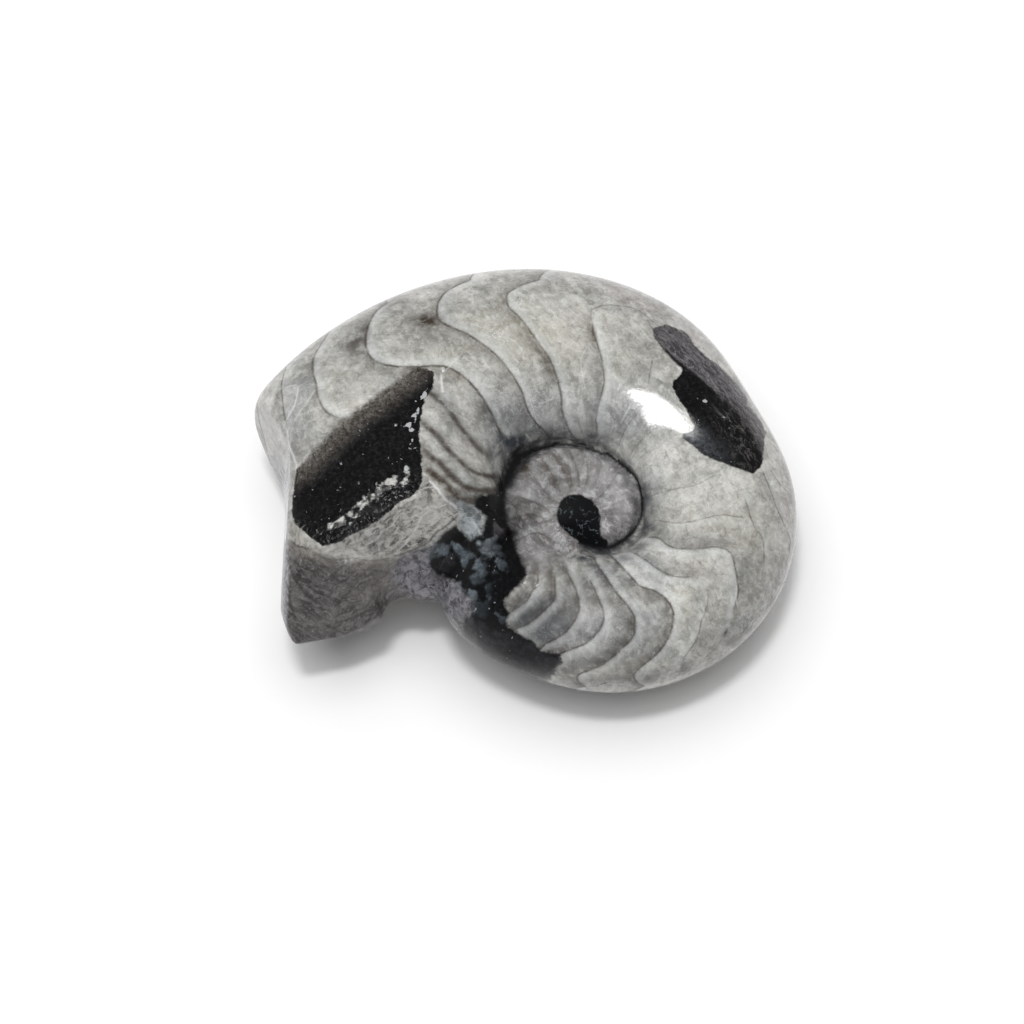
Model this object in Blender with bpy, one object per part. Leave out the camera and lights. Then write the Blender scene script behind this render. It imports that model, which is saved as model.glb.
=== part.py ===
"""A polished goniatite fossil, lying on its far flank.

The shell is a fat involute coil. It is built as it grew: one mouth outline that turns round the
coil axis and widens by a constant factor each turn. The last whorl ends in a hollow mouth and a
flat left face, rock fills the corner between the mouth and the whorl before it, and the whole
stone is ground smooth. Lengths are in metres, +Z is up, and +X is to the right of the mouth.
"""

import math

import bmesh
import bpy
from mathutils import Matrix, Vector

MM = 0.001

# Driving dimensions of the coil
SIDE_RADIUS = 31.0 * MM
WHORL_EXPANSION = 3.08
SIDE_HALF_WIDTH = 10.2 * MM
WIDTH_EXPONENT = 0.6
SECTION_POWER = 2.25
SECTION_SKEW = 0.08
INNER_UMBILICUS_SHARE = 0.22

# The seam where the last whorl meets the one before it, as a share of the outer radius
SEAM_SHARE = 0.295
SEAM_EARLY_LOSS = 0.13
SEAM_LATE_LOSS = 0.095
SEAM_OVERLAP = 0.03
SEAM_DEPTH = 0.9 * MM
SEAM_HALF_WIDTH = 0.8 * MM
SEAM_START = -96.0
SEAM_END = 236.0

# Where the grinding left the outline flatter or fuller than the spiral: angle, spread, share
OUTLINE_CHANGES = (
    (38.0, 14.0, -0.057),
    (-22.0, 22.0, 0.030),
    (126.0, 27.0, -0.034),
)

# The worn end of the last whorl
LIP_ANGLE = 157.0
LIP_SPREAD = 24.0
LIP_LOSS = 0.135

# Angles along the coil, in degrees, counted through the turns
INNER_START = -760.0
INNER_END = -62.0
OUTER_START = -100.0
OUTER_END = 206.0
RING_STEP = 3.0
RING_POINTS = 56

# The rock between the mouth and the earlier whorl
FILL_ANGLE = -148.0
FILL_SPREAD = 20.0
FILL_SHARE = 0.15

# The rock in the corner between the mouth and the earlier whorl, one lump to each flank
ROCK_CENTRE = Vector((-14.6, -5.1, 3.5)) * MM
ROCK_LINE = Vector((-50.0, -57.0, -65.0))
ROCK_HALF_LENGTH = 8.9 * MM
ROCK_RADIUS = 4.5 * MM

# The plug of the umbilicus, which fills the middle of both flanks
PLUG_RADIUS = 10.5 * MM
PLUG_HALF_HEIGHT = 6.4 * MM

# The hollow mouth: a scoop with a narrow throat, which widens to both flanks. On the near flank
# its outline is a turned oval, because the upper edge of the mouth is nearly straight there.
MOUTH_THROAT = Vector((-24.1, -13.4, -2.2)) * MM
MOUTH_THROAT_RADIUS = 3.1 * MM
MOUTH_NEAR = Vector((-21.9, -12.8, 14.4)) * MM
MOUTH_NEAR_RADIUS = 14.2 * MM
MOUTH_NEAR_LONG = 1.16
MOUTH_NEAR_SHORT = 0.70
MOUTH_NEAR_TURN_DEG = 30.0
MOUTH_FAR = Vector((-23.1, -11.5, -13.7)) * MM
MOUTH_FAR_RADIUS = 11.0 * MM
MOUTH_REACH = 0.6
MOUTH_SIDES = 72

# The broken end of the horn, left of the mouth: two slanted faces that meet in a blunt edge
HORN_POINT = Vector((-36.0, -16.8, -2.9)) * MM
HORN_NEAR_NORMAL = Vector((0.197, -0.847, 0.494))
HORN_FAR_NORMAL = Vector((0.192, -0.826, -0.529))
HORN_RIGHT_END = -19.0 * MM
HORN_CUT_SIZE = 60.0 * MM

# The flat left face and the step under the lip: the plan of the block that cuts them
LEFT_CUT_PLAN = (
    (-49.0, 22.6),
    (-46.4, 16.6),
    (-43.5, 12.0),
    (-41.6, 8.6),
    (-41.3, 4.0),
    (-41.8, -22.0),
    (-62.0, -22.0),
    (-62.0, 22.6),
)
LEFT_CUT_HALF_HEIGHT = 30.0 * MM
LEFT_FACE_SLANT = 0.042

# How the stone lies
LEAN_DEG = 4.1
PITCH_DEG = -1.15
REST_CUT = 0.3 * MM

# Fineness of the ground surface
VOXEL = 0.7 * MM
GRIND_STEPS = 5
FACE_SHARE = 0.14


def smooth_step(value, start, end):
    t = min(max((value - start) / (end - start), 0.0), 1.0)
    return t * t * (3.0 - 2.0 * t)


def outline_factor(angle):
    factor = 1.0
    for centre, spread, share in OUTLINE_CHANGES:
        factor += share * math.exp(-0.5 * ((angle - centre) / spread) ** 2)
    return factor


def outer_radius(angle):
    """Distance from the coil axis to the outer edge of the whorl."""
    spiral = SIDE_RADIUS * WHORL_EXPANSION ** (min(angle, LIP_ANGLE) / 360.0)
    worn = 1.0 - LIP_LOSS * smooth_step(angle, LIP_ANGLE, LIP_ANGLE + LIP_SPREAD)
    fill = 1.0 + FILL_SHARE * math.exp(-0.5 * ((angle - FILL_ANGLE) / FILL_SPREAD) ** 2)
    return spiral * worn * fill * outline_factor(angle)


def half_width(angle):
    plain = SIDE_RADIUS * WHORL_EXPANSION ** (angle / 360.0)
    return SIDE_HALF_WIDTH * (plain / SIDE_RADIUS) ** WIDTH_EXPONENT


def seam_share(angle):
    """Where the seam runs, as a share of the outer radius at this angle."""
    early = SEAM_EARLY_LOSS * (1.0 - smooth_step(angle, -110.0, -15.0))
    late = SEAM_LATE_LOSS * smooth_step(angle, 112.0, 185.0)
    return SEAM_SHARE - early - late


def umbilicus_share(angle):
    """Inner edge of the last whorl, a little inside the seam."""
    return seam_share(angle) - SEAM_OVERLAP


def inner_share(angle):
    return INNER_UMBILICUS_SHARE


def signed_power(value, power):
    return math.copysign(abs(value) ** power, value)


def ring(mesh, angle, share):
    """One outline of the whorl, in the half plane through the coil axis at this angle."""
    radius = outer_radius(angle)
    width = half_width(angle)
    direction = Vector((math.cos(math.radians(angle)), math.sin(math.radians(angle)), 0.0))
    middle = 0.5 * (1.0 + share)
    depth = 0.5 * (1.0 - share)
    points = []
    for step in range(RING_POINTS):
        turn = 2.0 * math.pi * step / RING_POINTS
        across = signed_power(math.cos(turn), 2.0 / SECTION_POWER)
        along = signed_power(math.sin(turn), 2.0 / SECTION_POWER)
        reach = radius * (middle + depth * across)
        height = width * along * (1.0 - SECTION_SKEW * math.cos(turn))
        points.append(mesh.verts.new(direction * reach + Vector((0.0, 0.0, height))))
    return points


def whorl(name, start, end, share_at):
    """A closed tube of rings from one angle of the coil to another."""
    mesh = bmesh.new()
    count = round((end - start) / RING_STEP)
    rings = []
    for index in range(count + 1):
        angle = start + (end - start) * index / count
        rings.append(ring(mesh, angle, share_at(angle)))
    for first, second in zip(rings, rings[1:]):
        for k in range(RING_POINTS):
            j = (k + 1) % RING_POINTS
            mesh.faces.new((first[k], first[j], second[j], second[k]))
    mesh.faces.new(rings[0])
    mesh.faces.new(rings[-1])
    bmesh.ops.recalc_face_normals(mesh, faces=mesh.faces)
    return new_object(name, mesh)


def new_object(name, mesh):
    data = bpy.data.meshes.new(name)
    mesh.to_mesh(data)
    mesh.free()
    item = bpy.data.objects.new(name, data)
    bpy.context.scene.collection.objects.link(item)
    return item


def egg(name, place, radius, half_height):
    mesh = bmesh.new()
    scale = Matrix.Diagonal((radius, radius, half_height, 1.0))
    bmesh.ops.create_uvsphere(mesh, u_segments=32, v_segments=16, radius=1.0, matrix=place @ scale)
    return new_object(name, mesh)


def corner_rock(name, side):
    """A lump that rounds the corner on one flank: side is 1 for near and -1 for far."""
    line = Vector((ROCK_LINE.x, ROCK_LINE.y, ROCK_LINE.z * side))
    centre = Vector((ROCK_CENTRE.x, ROCK_CENTRE.y, ROCK_CENTRE.z * side))
    turn = line.to_track_quat("Z", "Y").to_matrix().to_4x4()
    return egg(name, Matrix.Translation(centre) @ turn, ROCK_RADIUS, ROCK_HALF_LENGTH)


def mouth_cutter():
    """Round and oval outlines from flank to flank, joined to one closed scoop."""
    near_end = MOUTH_NEAR + (MOUTH_NEAR - MOUTH_THROAT) * MOUTH_REACH
    far_end = MOUTH_FAR + (MOUTH_FAR - MOUTH_THROAT) * MOUTH_REACH
    near_spread = (MOUTH_NEAR_RADIUS - MOUTH_THROAT_RADIUS) * MOUTH_REACH
    far_spread = (MOUTH_FAR_RADIUS - MOUTH_THROAT_RADIUS) * MOUTH_REACH
    outlines = (
        (far_end, MOUTH_FAR_RADIUS + far_spread, 1.0, 1.0),
        (MOUTH_THROAT, MOUTH_THROAT_RADIUS, 1.0, 1.0),
        (near_end, MOUTH_NEAR_RADIUS + near_spread, MOUTH_NEAR_LONG, MOUTH_NEAR_SHORT),
    )
    turn = Matrix.Rotation(math.radians(MOUTH_NEAR_TURN_DEG), 4, "Z")
    mesh = bmesh.new()
    loops = []
    for centre, radius, long_share, short_share in outlines:
        oval = turn @ Matrix.Diagonal((long_share, short_share, 1.0, 1.0)) @ turn.inverted()
        place = Matrix.Translation(centre) @ oval
        made = bmesh.ops.create_circle(
            mesh, cap_ends=False, segments=MOUTH_SIDES, radius=radius, matrix=place
        )
        loops.append(made["verts"])
    for first, second in zip(loops, loops[1:]):
        for k in range(MOUTH_SIDES):
            j = (k + 1) % MOUTH_SIDES
            mesh.faces.new((first[k], first[j], second[j], second[k]))
    mesh.faces.new(loops[0])
    mesh.faces.new(loops[-1])
    bmesh.ops.recalc_face_normals(mesh, faces=mesh.faces)
    return as_cutter(new_object("mouth_cutter", mesh))


def left_face_cutter():
    """The cutting plan drawn at the bottom and at the top, and joined to a block."""
    mesh = bmesh.new()
    loops = []
    for height in (-LEFT_CUT_HALF_HEIGHT, LEFT_CUT_HALF_HEIGHT):
        lean = height * LEFT_FACE_SLANT
        loops.append([mesh.verts.new((x * MM + lean, y * MM, height)) for x, y in LEFT_CUT_PLAN])
    for k in range(len(LEFT_CUT_PLAN)):
        j = (k + 1) % len(LEFT_CUT_PLAN)
        mesh.faces.new((loops[0][k], loops[0][j], loops[1][j], loops[1][k]))
    mesh.faces.new(loops[0])
    mesh.faces.new(loops[1])
    bmesh.ops.recalc_face_normals(mesh, faces=mesh.faces)
    return as_cutter(new_object("left_face_cutter", mesh))


def horn_cutter(name, normal):
    """A block whose one face is the horn's broken end, and which stops short of the coil."""
    size = HORN_CUT_SIZE
    mesh = bmesh.new()
    bmesh.ops.create_cube(mesh, size=size)
    bmesh.ops.translate(mesh, verts=mesh.verts, vec=(0.0, 0.0, size / 2.0))
    turn = normal.normalized().to_track_quat("Z", "Y").to_matrix().to_4x4()
    bmesh.ops.transform(mesh, matrix=Matrix.Translation(HORN_POINT) @ turn, verts=mesh.verts)
    found = bmesh.ops.bisect_plane(
        mesh,
        geom=list(mesh.verts) + list(mesh.edges) + list(mesh.faces),
        plane_co=(HORN_RIGHT_END, 0.0, 0.0),
        plane_no=(1.0, 0.0, 0.0),
        clear_outer=True,
    )
    rim = [part for part in found["geom_cut"] if isinstance(part, bmesh.types.BMEdge)]
    bmesh.ops.holes_fill(mesh, edges=rim)
    bmesh.ops.recalc_face_normals(mesh, faces=mesh.faces)
    return as_cutter(new_object(name, mesh))


def as_cutter(item):
    item.hide_render = True
    item.display_type = "WIRE"
    return item


def cut(item, cutter):
    step = item.modifiers.new(cutter.name, "BOOLEAN")
    step.operation = "DIFFERENCE"
    step.solver = "EXACT"
    step.object = cutter


def settled(item):
    """The mesh of an object with its modifiers, and the object taken away."""
    graph = bpy.context.evaluated_depsgraph_get()
    data = bpy.data.meshes.new_from_object(item.evaluated_get(graph))
    bpy.data.objects.remove(item)
    return data


def gathered(name, meshes):
    """One object that holds several overlapping closed shapes."""
    whole = bmesh.new()
    for data in meshes:
        whole.from_mesh(data)
        bpy.data.meshes.remove(data)
    return new_object(name, whole)


def ground(item):
    """Melt the shapes into one skin and smooth it as the grinding did."""
    skin = item.modifiers.new("one_skin", "REMESH")
    skin.mode = "VOXEL"
    skin.voxel_size = VOXEL
    soft = item.modifiers.new("polish", "SMOOTH")
    soft.factor = 0.5
    soft.iterations = GRIND_STEPS
    return settled(item)


def carve_seam(stone):
    """Press the spiral seam into both flanks, deepest on its line."""
    for vert in stone.verts:
        turn = math.degrees(math.atan2(vert.co.y, vert.co.x))
        angle = turn if turn > SEAM_START else turn + 360.0
        if angle > SEAM_END:
            continue
        away = math.hypot(vert.co.x, vert.co.y) - seam_share(angle) * outer_radius(angle)
        depth = SEAM_DEPTH * math.exp(-((away / SEAM_HALF_WIDTH) ** 2))
        vert.co.z -= math.copysign(depth, vert.co.z)


def thinned(name, mesh):
    item = new_object(name, mesh)
    thin = item.modifiers.new("fewer_faces", "DECIMATE")
    thin.ratio = FACE_SHARE
    return settled(item)


def flatten_foot(stone):
    """Cut the lowest half millimetre flat, and stand the stone on its cut at the origin."""
    lowest = min(vert.co.z for vert in stone.verts)
    found = bmesh.ops.bisect_plane(
        stone,
        geom=list(stone.verts) + list(stone.edges) + list(stone.faces),
        plane_co=(0.0, 0.0, lowest + REST_CUT),
        plane_no=(0.0, 0.0, 1.0),
        clear_inner=True,
    )
    rim = [part for part in found["geom_cut"] if isinstance(part, bmesh.types.BMEdge)]
    bmesh.ops.holes_fill(stone, edges=rim)
    low = Vector(min(vert.co[k] for vert in stone.verts) for k in range(3))
    high = Vector(max(vert.co[k] for vert in stone.verts) for k in range(3))
    shift = Vector((-(low.x + high.x) / 2.0, -(low.y + high.y) / 2.0, -low.z))
    bmesh.ops.translate(stone, verts=stone.verts, vec=shift)
    bmesh.ops.recalc_face_normals(stone, faces=stone.faces)
    print("coil centre in the finished frame, mm", [round(v / MM, 3) for v in shift])
    return shift


def stone_material():
    material = bpy.data.materials.new("polished_fossil_stone")
    material.use_nodes = True
    surface = material.node_tree.nodes["Principled BSDF"]
    surface.inputs["Base Color"].default_value = (0.46, 0.46, 0.42, 1.0)
    surface.inputs["Roughness"].default_value = 0.12
    surface.inputs["Metallic"].default_value = 0.0
    return material


def main():
    for item in list(bpy.data.objects):
        bpy.data.objects.remove(item)
    last_whorl = whorl("last_whorl", OUTER_START, OUTER_END, umbilicus_share)
    cutters = (
        mouth_cutter(),
        horn_cutter("horn_near_cutter", HORN_NEAR_NORMAL),
        horn_cutter("horn_far_cutter", HORN_FAR_NORMAL),
        left_face_cutter(),
    )
    for cutter in cutters:
        cut(last_whorl, cutter)
    inner_whorls = whorl("inner_whorls", INNER_START, INNER_END, inner_share)
    plug = egg("plug", Matrix.Identity(4), PLUG_RADIUS, PLUG_HALF_HEIGHT)
    rocks = [corner_rock("near_rock", 1.0), corner_rock("far_rock", -1.0)]
    meshes = [settled(item) for item in (last_whorl, inner_whorls, plug, *rocks)]
    skin = ground(gathered("rough_stone", meshes))
    stone = bmesh.new()
    stone.from_mesh(skin)
    carve_seam(stone)
    lean = Matrix.Rotation(math.radians(LEAN_DEG), 4, "Y")
    pitch = Matrix.Rotation(math.radians(PITCH_DEG), 4, "X")
    thin = thinned("carved_stone", stone)
    stone = bmesh.new()
    stone.from_mesh(thin)
    bmesh.ops.transform(stone, matrix=pitch @ lean, verts=stone.verts)
    coil_centre = flatten_foot(stone)
    finished = new_object("goniatite", stone)
    finished.data.materials.append(stone_material())
    finished.data.shade_smooth()
    return coil_centre


coil_centre = main()
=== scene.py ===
# %% [markdown]
# # A polished goniatite
# A goniatite is the fossil of a coiled sea shell. Its chambers have filled with pale crystals and
# its mouth with dark rock, and the whole stone has been ground and polished, so the walls between
# the chambers show on its surface as thin brown curves. This lesson grows the shell as the animal
# did, cuts its broken mouth, polishes it, and then draws and colours the stone.

# %% Load the solid stone
import math

import bpy
import numpy as np
from mathutils import Matrix, Quaternion, Vector
from mathutils.kdtree import KDTree


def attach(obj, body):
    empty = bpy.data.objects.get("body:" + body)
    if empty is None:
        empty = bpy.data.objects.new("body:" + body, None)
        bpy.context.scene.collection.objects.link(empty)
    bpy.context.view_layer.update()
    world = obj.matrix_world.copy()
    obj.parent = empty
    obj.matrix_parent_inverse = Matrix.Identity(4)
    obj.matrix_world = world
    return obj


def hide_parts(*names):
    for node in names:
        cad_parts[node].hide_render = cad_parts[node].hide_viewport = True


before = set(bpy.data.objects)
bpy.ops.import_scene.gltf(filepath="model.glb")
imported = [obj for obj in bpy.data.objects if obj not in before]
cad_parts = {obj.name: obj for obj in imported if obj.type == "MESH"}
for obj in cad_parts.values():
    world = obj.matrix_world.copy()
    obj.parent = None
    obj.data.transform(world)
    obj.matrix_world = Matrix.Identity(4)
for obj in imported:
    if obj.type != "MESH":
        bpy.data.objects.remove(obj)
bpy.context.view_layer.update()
MM = 0.001

# %% [markdown]
# The camera comes first, because the markings are drawn through it later. It stands above the
# stone and a little in front, as in the photo, with a long lens that hardly distorts.

# %% The camera
LENS = 100.0
SENSOR = 36.0
FRAME_PIXELS = 1024.0
CAMERA_PLACE = Vector((-1.85, -165.62, 386.79)) * MM
CAMERA_TILT = math.radians(23.15)

bpy.ops.object.camera_add(location=CAMERA_PLACE, rotation=(CAMERA_TILT, 0.0, 0.0))
camera = bpy.context.object
camera.name = "camera"
camera.data.lens = LENS
camera.data.sensor_width = SENSOR
camera.data.clip_start = 0.01
bpy.context.scene.camera = camera

# %% [markdown]
# A shell of this kind is a logarithmic spiral: one outline of its tube turns round the coil's axis
# and grows by the same factor each turn. A few numbers hold the whole form. The outline of the
# real stone is a little fuller or flatter in places, where it was ground, and three soft changes
# follow that.

# %% The numbers of the coil
SIDE_RADIUS = 31.0 * MM
WHORL_EXPANSION = 3.08
SIDE_HALF_WIDTH = 10.2 * MM
WIDTH_EXPONENT = 0.6
SECTION_POWER = 2.25
SECTION_SKEW = 0.08
SECTION_POINTS = 96
OUTLINE_CHANGES = ((38.0, 14.0, -0.057), (-22.0, 22.0, 0.030), (126.0, 27.0, -0.034))
LIP_ANGLE = 157.0
LIP_SPREAD = 24.0
LIP_LOSS = 0.135
FILL_ANGLE = -148.0
FILL_SPREAD = 20.0
FILL_SHARE = 0.15
LAST_INNER_EDGE = 0.265
EARLY_OVERLAP = 0.13
EARLY_OVERLAP_ANGLES = (-110.0, -15.0)
MOUTH_OVERLAP = 0.095
MOUTH_OVERLAP_ANGLES = (112.0, 185.0)
EARLY_INNER_EDGE = 0.22
COIL_CENTRE = Vector((7.336, -8.517, 12.321)) * MM
LEAN = math.radians(4.1)
PITCH = math.radians(-1.15)


def smooth_step(value, start, end):
    t = min(max((value - start) / (end - start), 0.0), 1.0)
    return t * t * (3.0 - 2.0 * t)


def outer_radius(angle):
    """Distance from the coil's axis to the outer edge of the tube."""
    spiral = SIDE_RADIUS * WHORL_EXPANSION ** (min(angle, LIP_ANGLE) / 360.0)
    worn = 1.0 - LIP_LOSS * smooth_step(angle, LIP_ANGLE, LIP_ANGLE + LIP_SPREAD)
    fill = 1.0 + FILL_SHARE * math.exp(-0.5 * ((angle - FILL_ANGLE) / FILL_SPREAD) ** 2)
    ground = 1.0
    for centre, spread, share in OUTLINE_CHANGES:
        ground += share * math.exp(-0.5 * ((angle - centre) / spread) ** 2)
    return spiral * worn * fill * ground


def half_width(angle):
    growth = WHORL_EXPANSION ** (angle / 360.0)
    return SIDE_HALF_WIDTH * growth ** WIDTH_EXPONENT


def last_inner_edge(angle):
    """Where the last whorl meets the one before, as a share of the outer radius."""
    early = EARLY_OVERLAP * (1.0 - smooth_step(angle, *EARLY_OVERLAP_ANGLES))
    late = MOUTH_OVERLAP * smooth_step(angle, *MOUTH_OVERLAP_ANGLES)
    return LAST_INNER_EDGE - early - late


def early_inner_edge(angle):
    return EARLY_INNER_EDGE


# %% [markdown]
# Each whorl starts as a filled circle, pulled into the rounded outline of the tube. In edit mode
# the outline is then extruded, turned about the coil's axis and widened, a few degrees at a time.
# That is how the animal built it, and it keeps the tube closed all the way. With no window the
# rotate operator turns the other way, so its angle gets a minus.

# %% Grow a whorl
TURN_SIGN = -1.0


def deselect():
    if bpy.context.mode != "OBJECT":
        bpy.ops.object.mode_set(mode="OBJECT")
    bpy.ops.object.select_all(action="DESELECT")


def open_mesh(thing):
    """Opens a mesh in edit mode with all of it selected."""
    bpy.context.view_layer.objects.active = thing
    bpy.ops.object.mode_set(mode="EDIT")
    bpy.ops.mesh.select_all(action="SELECT")


def close_mesh(thing):
    """Points all faces outwards and leaves edit mode."""
    bpy.ops.mesh.select_all(action="SELECT")
    bpy.ops.mesh.normals_make_consistent(inside=False)
    bpy.ops.object.mode_set(mode="OBJECT")
    return thing


def signed_power(value, power):
    return math.copysign(abs(value) ** power, value)


def from_axis(turn):
    """The direction at this turn round the coil's axis, in radians."""
    return Vector((math.cos(turn), math.sin(turn), 0.0))


def draw_outline(circle, angle, inner_edge):
    """Pulls a unit circle into the tube's outline, in the half plane at this angle."""
    direction = from_axis(math.radians(angle))
    share = inner_edge(angle)
    for point in circle.data.vertices:
        across = signed_power(point.co.x, 2.0 / SECTION_POWER)
        along = signed_power(point.co.y, 2.0 / SECTION_POWER)
        reach = outer_radius(angle) * (0.5 * (1.0 + share) + 0.5 * (1.0 - share) * across)
        height = half_width(angle) * along * (1.0 - SECTION_SKEW * point.co.x)
        point.co = direction * reach + Vector((0.0, 0.0, height))


def grow_one_step(angle, next_angle, inner_edge):
    direction = from_axis(math.radians(next_angle))
    depth = outer_radius(angle) * (1.0 - inner_edge(angle))
    next_depth = outer_radius(next_angle) * (1.0 - inner_edge(next_angle))
    wider = next_depth / depth
    taller = half_width(next_angle) / half_width(angle)
    rim = direction * outer_radius(angle)
    outward = direction * (outer_radius(next_angle) - outer_radius(angle))
    bpy.ops.mesh.extrude_region_move()
    bpy.ops.transform.rotate(
        value=TURN_SIGN * math.radians(next_angle - angle), orient_axis="Z",
        center_override=(0, 0, 0)
    )
    bpy.ops.transform.resize(value=(wider, wider, taller), center_override=rim)
    bpy.ops.transform.translate(value=outward)


def grow_whorl(name, start, end, step, inner_edge):
    deselect()
    bpy.ops.mesh.primitive_circle_add(vertices=SECTION_POINTS, radius=1.0, fill_type="NGON")
    whorl = bpy.context.object
    whorl.name = name
    draw_outline(whorl, start, inner_edge)
    open_mesh(whorl)
    count = round((end - start) / step)
    for number in range(count):
        angle = start + (end - start) * number / count
        next_angle = start + (end - start) * (number + 1) / count
        grow_one_step(angle, next_angle, inner_edge)
    close_mesh(whorl)
    print(name, len(whorl.data.vertices), "points")
    return whorl


last_whorl = grow_whorl("last_whorl", -100.0, 206.0, 2.0, last_inner_edge)
inner_whorls = grow_whorl("inner_whorls", -560.0, -62.0, 4.0, early_inner_edge)

# %% [markdown]
# The broken end is cut with simple solids, as a saw and a grinding wheel would. The mouth is a
# scoop that is narrow in the middle of the shell and wide at both flanks, drawn as one circle that
# is extruded and widened, and pressed oval on the near flank. Two blocks slant the end of the
# horn, and one drawn block makes the flat left face and the step under the lip.

# %% The cutting solids
THROAT = (Vector((-24.1, -13.4, -2.2)) * MM, 3.1 * MM)
NEAR_FLANK = (Vector((-21.9, -12.8, 14.4)) * MM, 14.2 * MM)
NEAR_LONG = 1.16
NEAR_SHORT = 0.70
NEAR_TURN = math.radians(30.0)
FAR_FLANK = (Vector((-23.1, -11.5, -13.7)) * MM, 11.0 * MM)
SCOOP_POINTS = 96
SCOOP_OVERSHOOT = 0.6
HORN_POINT = Vector((-36.0, -16.8, -2.9)) * MM
HORN_NEAR_NORMAL = Vector((0.197, -0.847, 0.494))
HORN_FAR_NORMAL = Vector((0.192, -0.826, -0.529))
HORN_RIGHT_END = -19.0 * MM
HORN_BLOCK = 60.0 * MM
LEFT_CUT_PLAN = (
    (-49.0, 22.6), (-46.4, 16.6), (-43.5, 12.0), (-41.6, 8.6),
    (-41.3, 4.0), (-41.8, -22.0), (-62.0, -22.0), (-62.0, 22.6),
)
LEFT_CUT_BOTTOM = -30.0 * MM
LEFT_CUT_SLANT = 0.042


def beyond(end, throat):
    """A circle further out on the line from the throat, so that the scoop leaves the stone."""
    place = end[0] + (end[0] - throat[0]) * SCOOP_OVERSHOOT
    return place, end[1] + (end[1] - throat[1]) * SCOOP_OVERSHOOT


def scoop(name):
    low_place, low_radius = beyond(FAR_FLANK, THROAT)
    deselect()
    bpy.ops.mesh.primitive_circle_add(
        vertices=SCOOP_POINTS, radius=low_radius, fill_type="NGON", location=low_place
    )
    tool = bpy.context.object
    tool.name = name
    bpy.ops.object.transform_apply(location=True, rotation=True, scale=True)
    open_mesh(tool)
    place, radius = low_place, low_radius
    for next_place, next_radius in (THROAT, beyond(NEAR_FLANK, THROAT)):
        ratio = next_radius / radius
        bpy.ops.mesh.extrude_region_move()
        bpy.ops.transform.translate(value=next_place - place)
        bpy.ops.transform.resize(value=(ratio, ratio, 1.0), center_override=next_place)
        place, radius = next_place, next_radius
    bpy.ops.transform.rotate(value=NEAR_TURN, orient_axis="Z", center_override=place)
    bpy.ops.transform.resize(value=(NEAR_LONG, NEAR_SHORT, 1.0), center_override=place)
    bpy.ops.transform.rotate(value=-NEAR_TURN, orient_axis="Z", center_override=place)
    return close_mesh(tool)


def horn_block(name, normal):
    """A block whose lower face lies on the horn's broken end, cut short of the coil."""
    turn = normal.normalized().to_track_quat("Z", "Y")
    middle = HORN_POINT + normal.normalized() * HORN_BLOCK / 2.0
    deselect()
    bpy.ops.mesh.primitive_cube_add(size=HORN_BLOCK, location=middle, rotation=turn.to_euler())
    tool = bpy.context.object
    tool.name = name
    bpy.ops.object.transform_apply(location=True, rotation=True, scale=True)
    open_mesh(tool)
    bpy.ops.mesh.bisect(
        plane_co=(HORN_RIGHT_END, 0.0, 0.0), plane_no=(1.0, 0.0, 0.0), use_fill=True,
        clear_outer=True
    )
    bpy.ops.object.mode_set(mode="OBJECT")
    return tool


def left_block(name):
    low = LEFT_CUT_BOTTOM
    lean = low * LEFT_CUT_SLANT
    deselect()
    bpy.ops.mesh.primitive_circle_add(vertices=len(LEFT_CUT_PLAN), radius=1.0, fill_type="NGON")
    tool = bpy.context.object
    tool.name = name
    for point, (x, y) in zip(tool.data.vertices, LEFT_CUT_PLAN):
        point.co = Vector((x * MM + lean, y * MM, low))
    open_mesh(tool)
    bpy.ops.mesh.extrude_region_move(
        TRANSFORM_OT_translate={"value": (-2.0 * lean, 0.0, -2.0 * low)}
    )
    return close_mesh(tool)


def cut_away(item, tool):
    deselect()
    bpy.context.view_layer.objects.active = item
    bpy.ops.object.modifier_add(type="BOOLEAN")
    step = item.modifiers[-1]
    step.operation = "DIFFERENCE"
    step.solver = "EXACT"
    step.object = tool
    bpy.ops.object.modifier_apply(modifier=step.name)
    bpy.data.objects.remove(tool)


cut_away(last_whorl, scoop("mouth_scoop"))
cut_away(last_whorl, horn_block("horn_near", HORN_NEAR_NORMAL))
cut_away(last_whorl, horn_block("horn_far", HORN_FAR_NORMAL))
cut_away(last_whorl, left_block("left_face"))
print("cut whorl", len(last_whorl.data.vertices), "points")

# %% [markdown]
# Rock fills the umbilicus, which is the hole in the middle of the coil, and the corners between
# the mouth and the earlier whorl. Balls squashed to size stand for it. Then everything is melted
# into one skin by a voxel remesh and smoothed, which rounds every edge as polishing does.

# %% Plug, rock and one polished skin
PLUG_RADIUS = 10.5 * MM
PLUG_HALF_HEIGHT = 6.4 * MM
ROCK_CENTRE = Vector((-14.6, -5.1, 3.5)) * MM
ROCK_LINE = Vector((-50.0, -57.0, -65.0))
ROCK_HALF_LENGTH = 8.9 * MM
ROCK_RADIUS = 4.5 * MM
EGG_SEGMENTS = 48
EGG_RINGS = 24
VOXEL = 0.405 * MM
SMOOTHING = 0.5
POLISHING_ROUNDS = 9


def egg(name, place, line, radius, half_length):
    turn = line.to_track_quat("Z", "Y").to_euler()
    deselect()
    bpy.ops.mesh.primitive_uv_sphere_add(
        segments=EGG_SEGMENTS, ring_count=EGG_RINGS, radius=1.0, location=place, rotation=turn,
        scale=(radius, radius, half_length),
    )
    lump = bpy.context.object
    lump.name = name
    bpy.ops.object.transform_apply(location=True, rotation=True, scale=True)
    return lump


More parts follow.
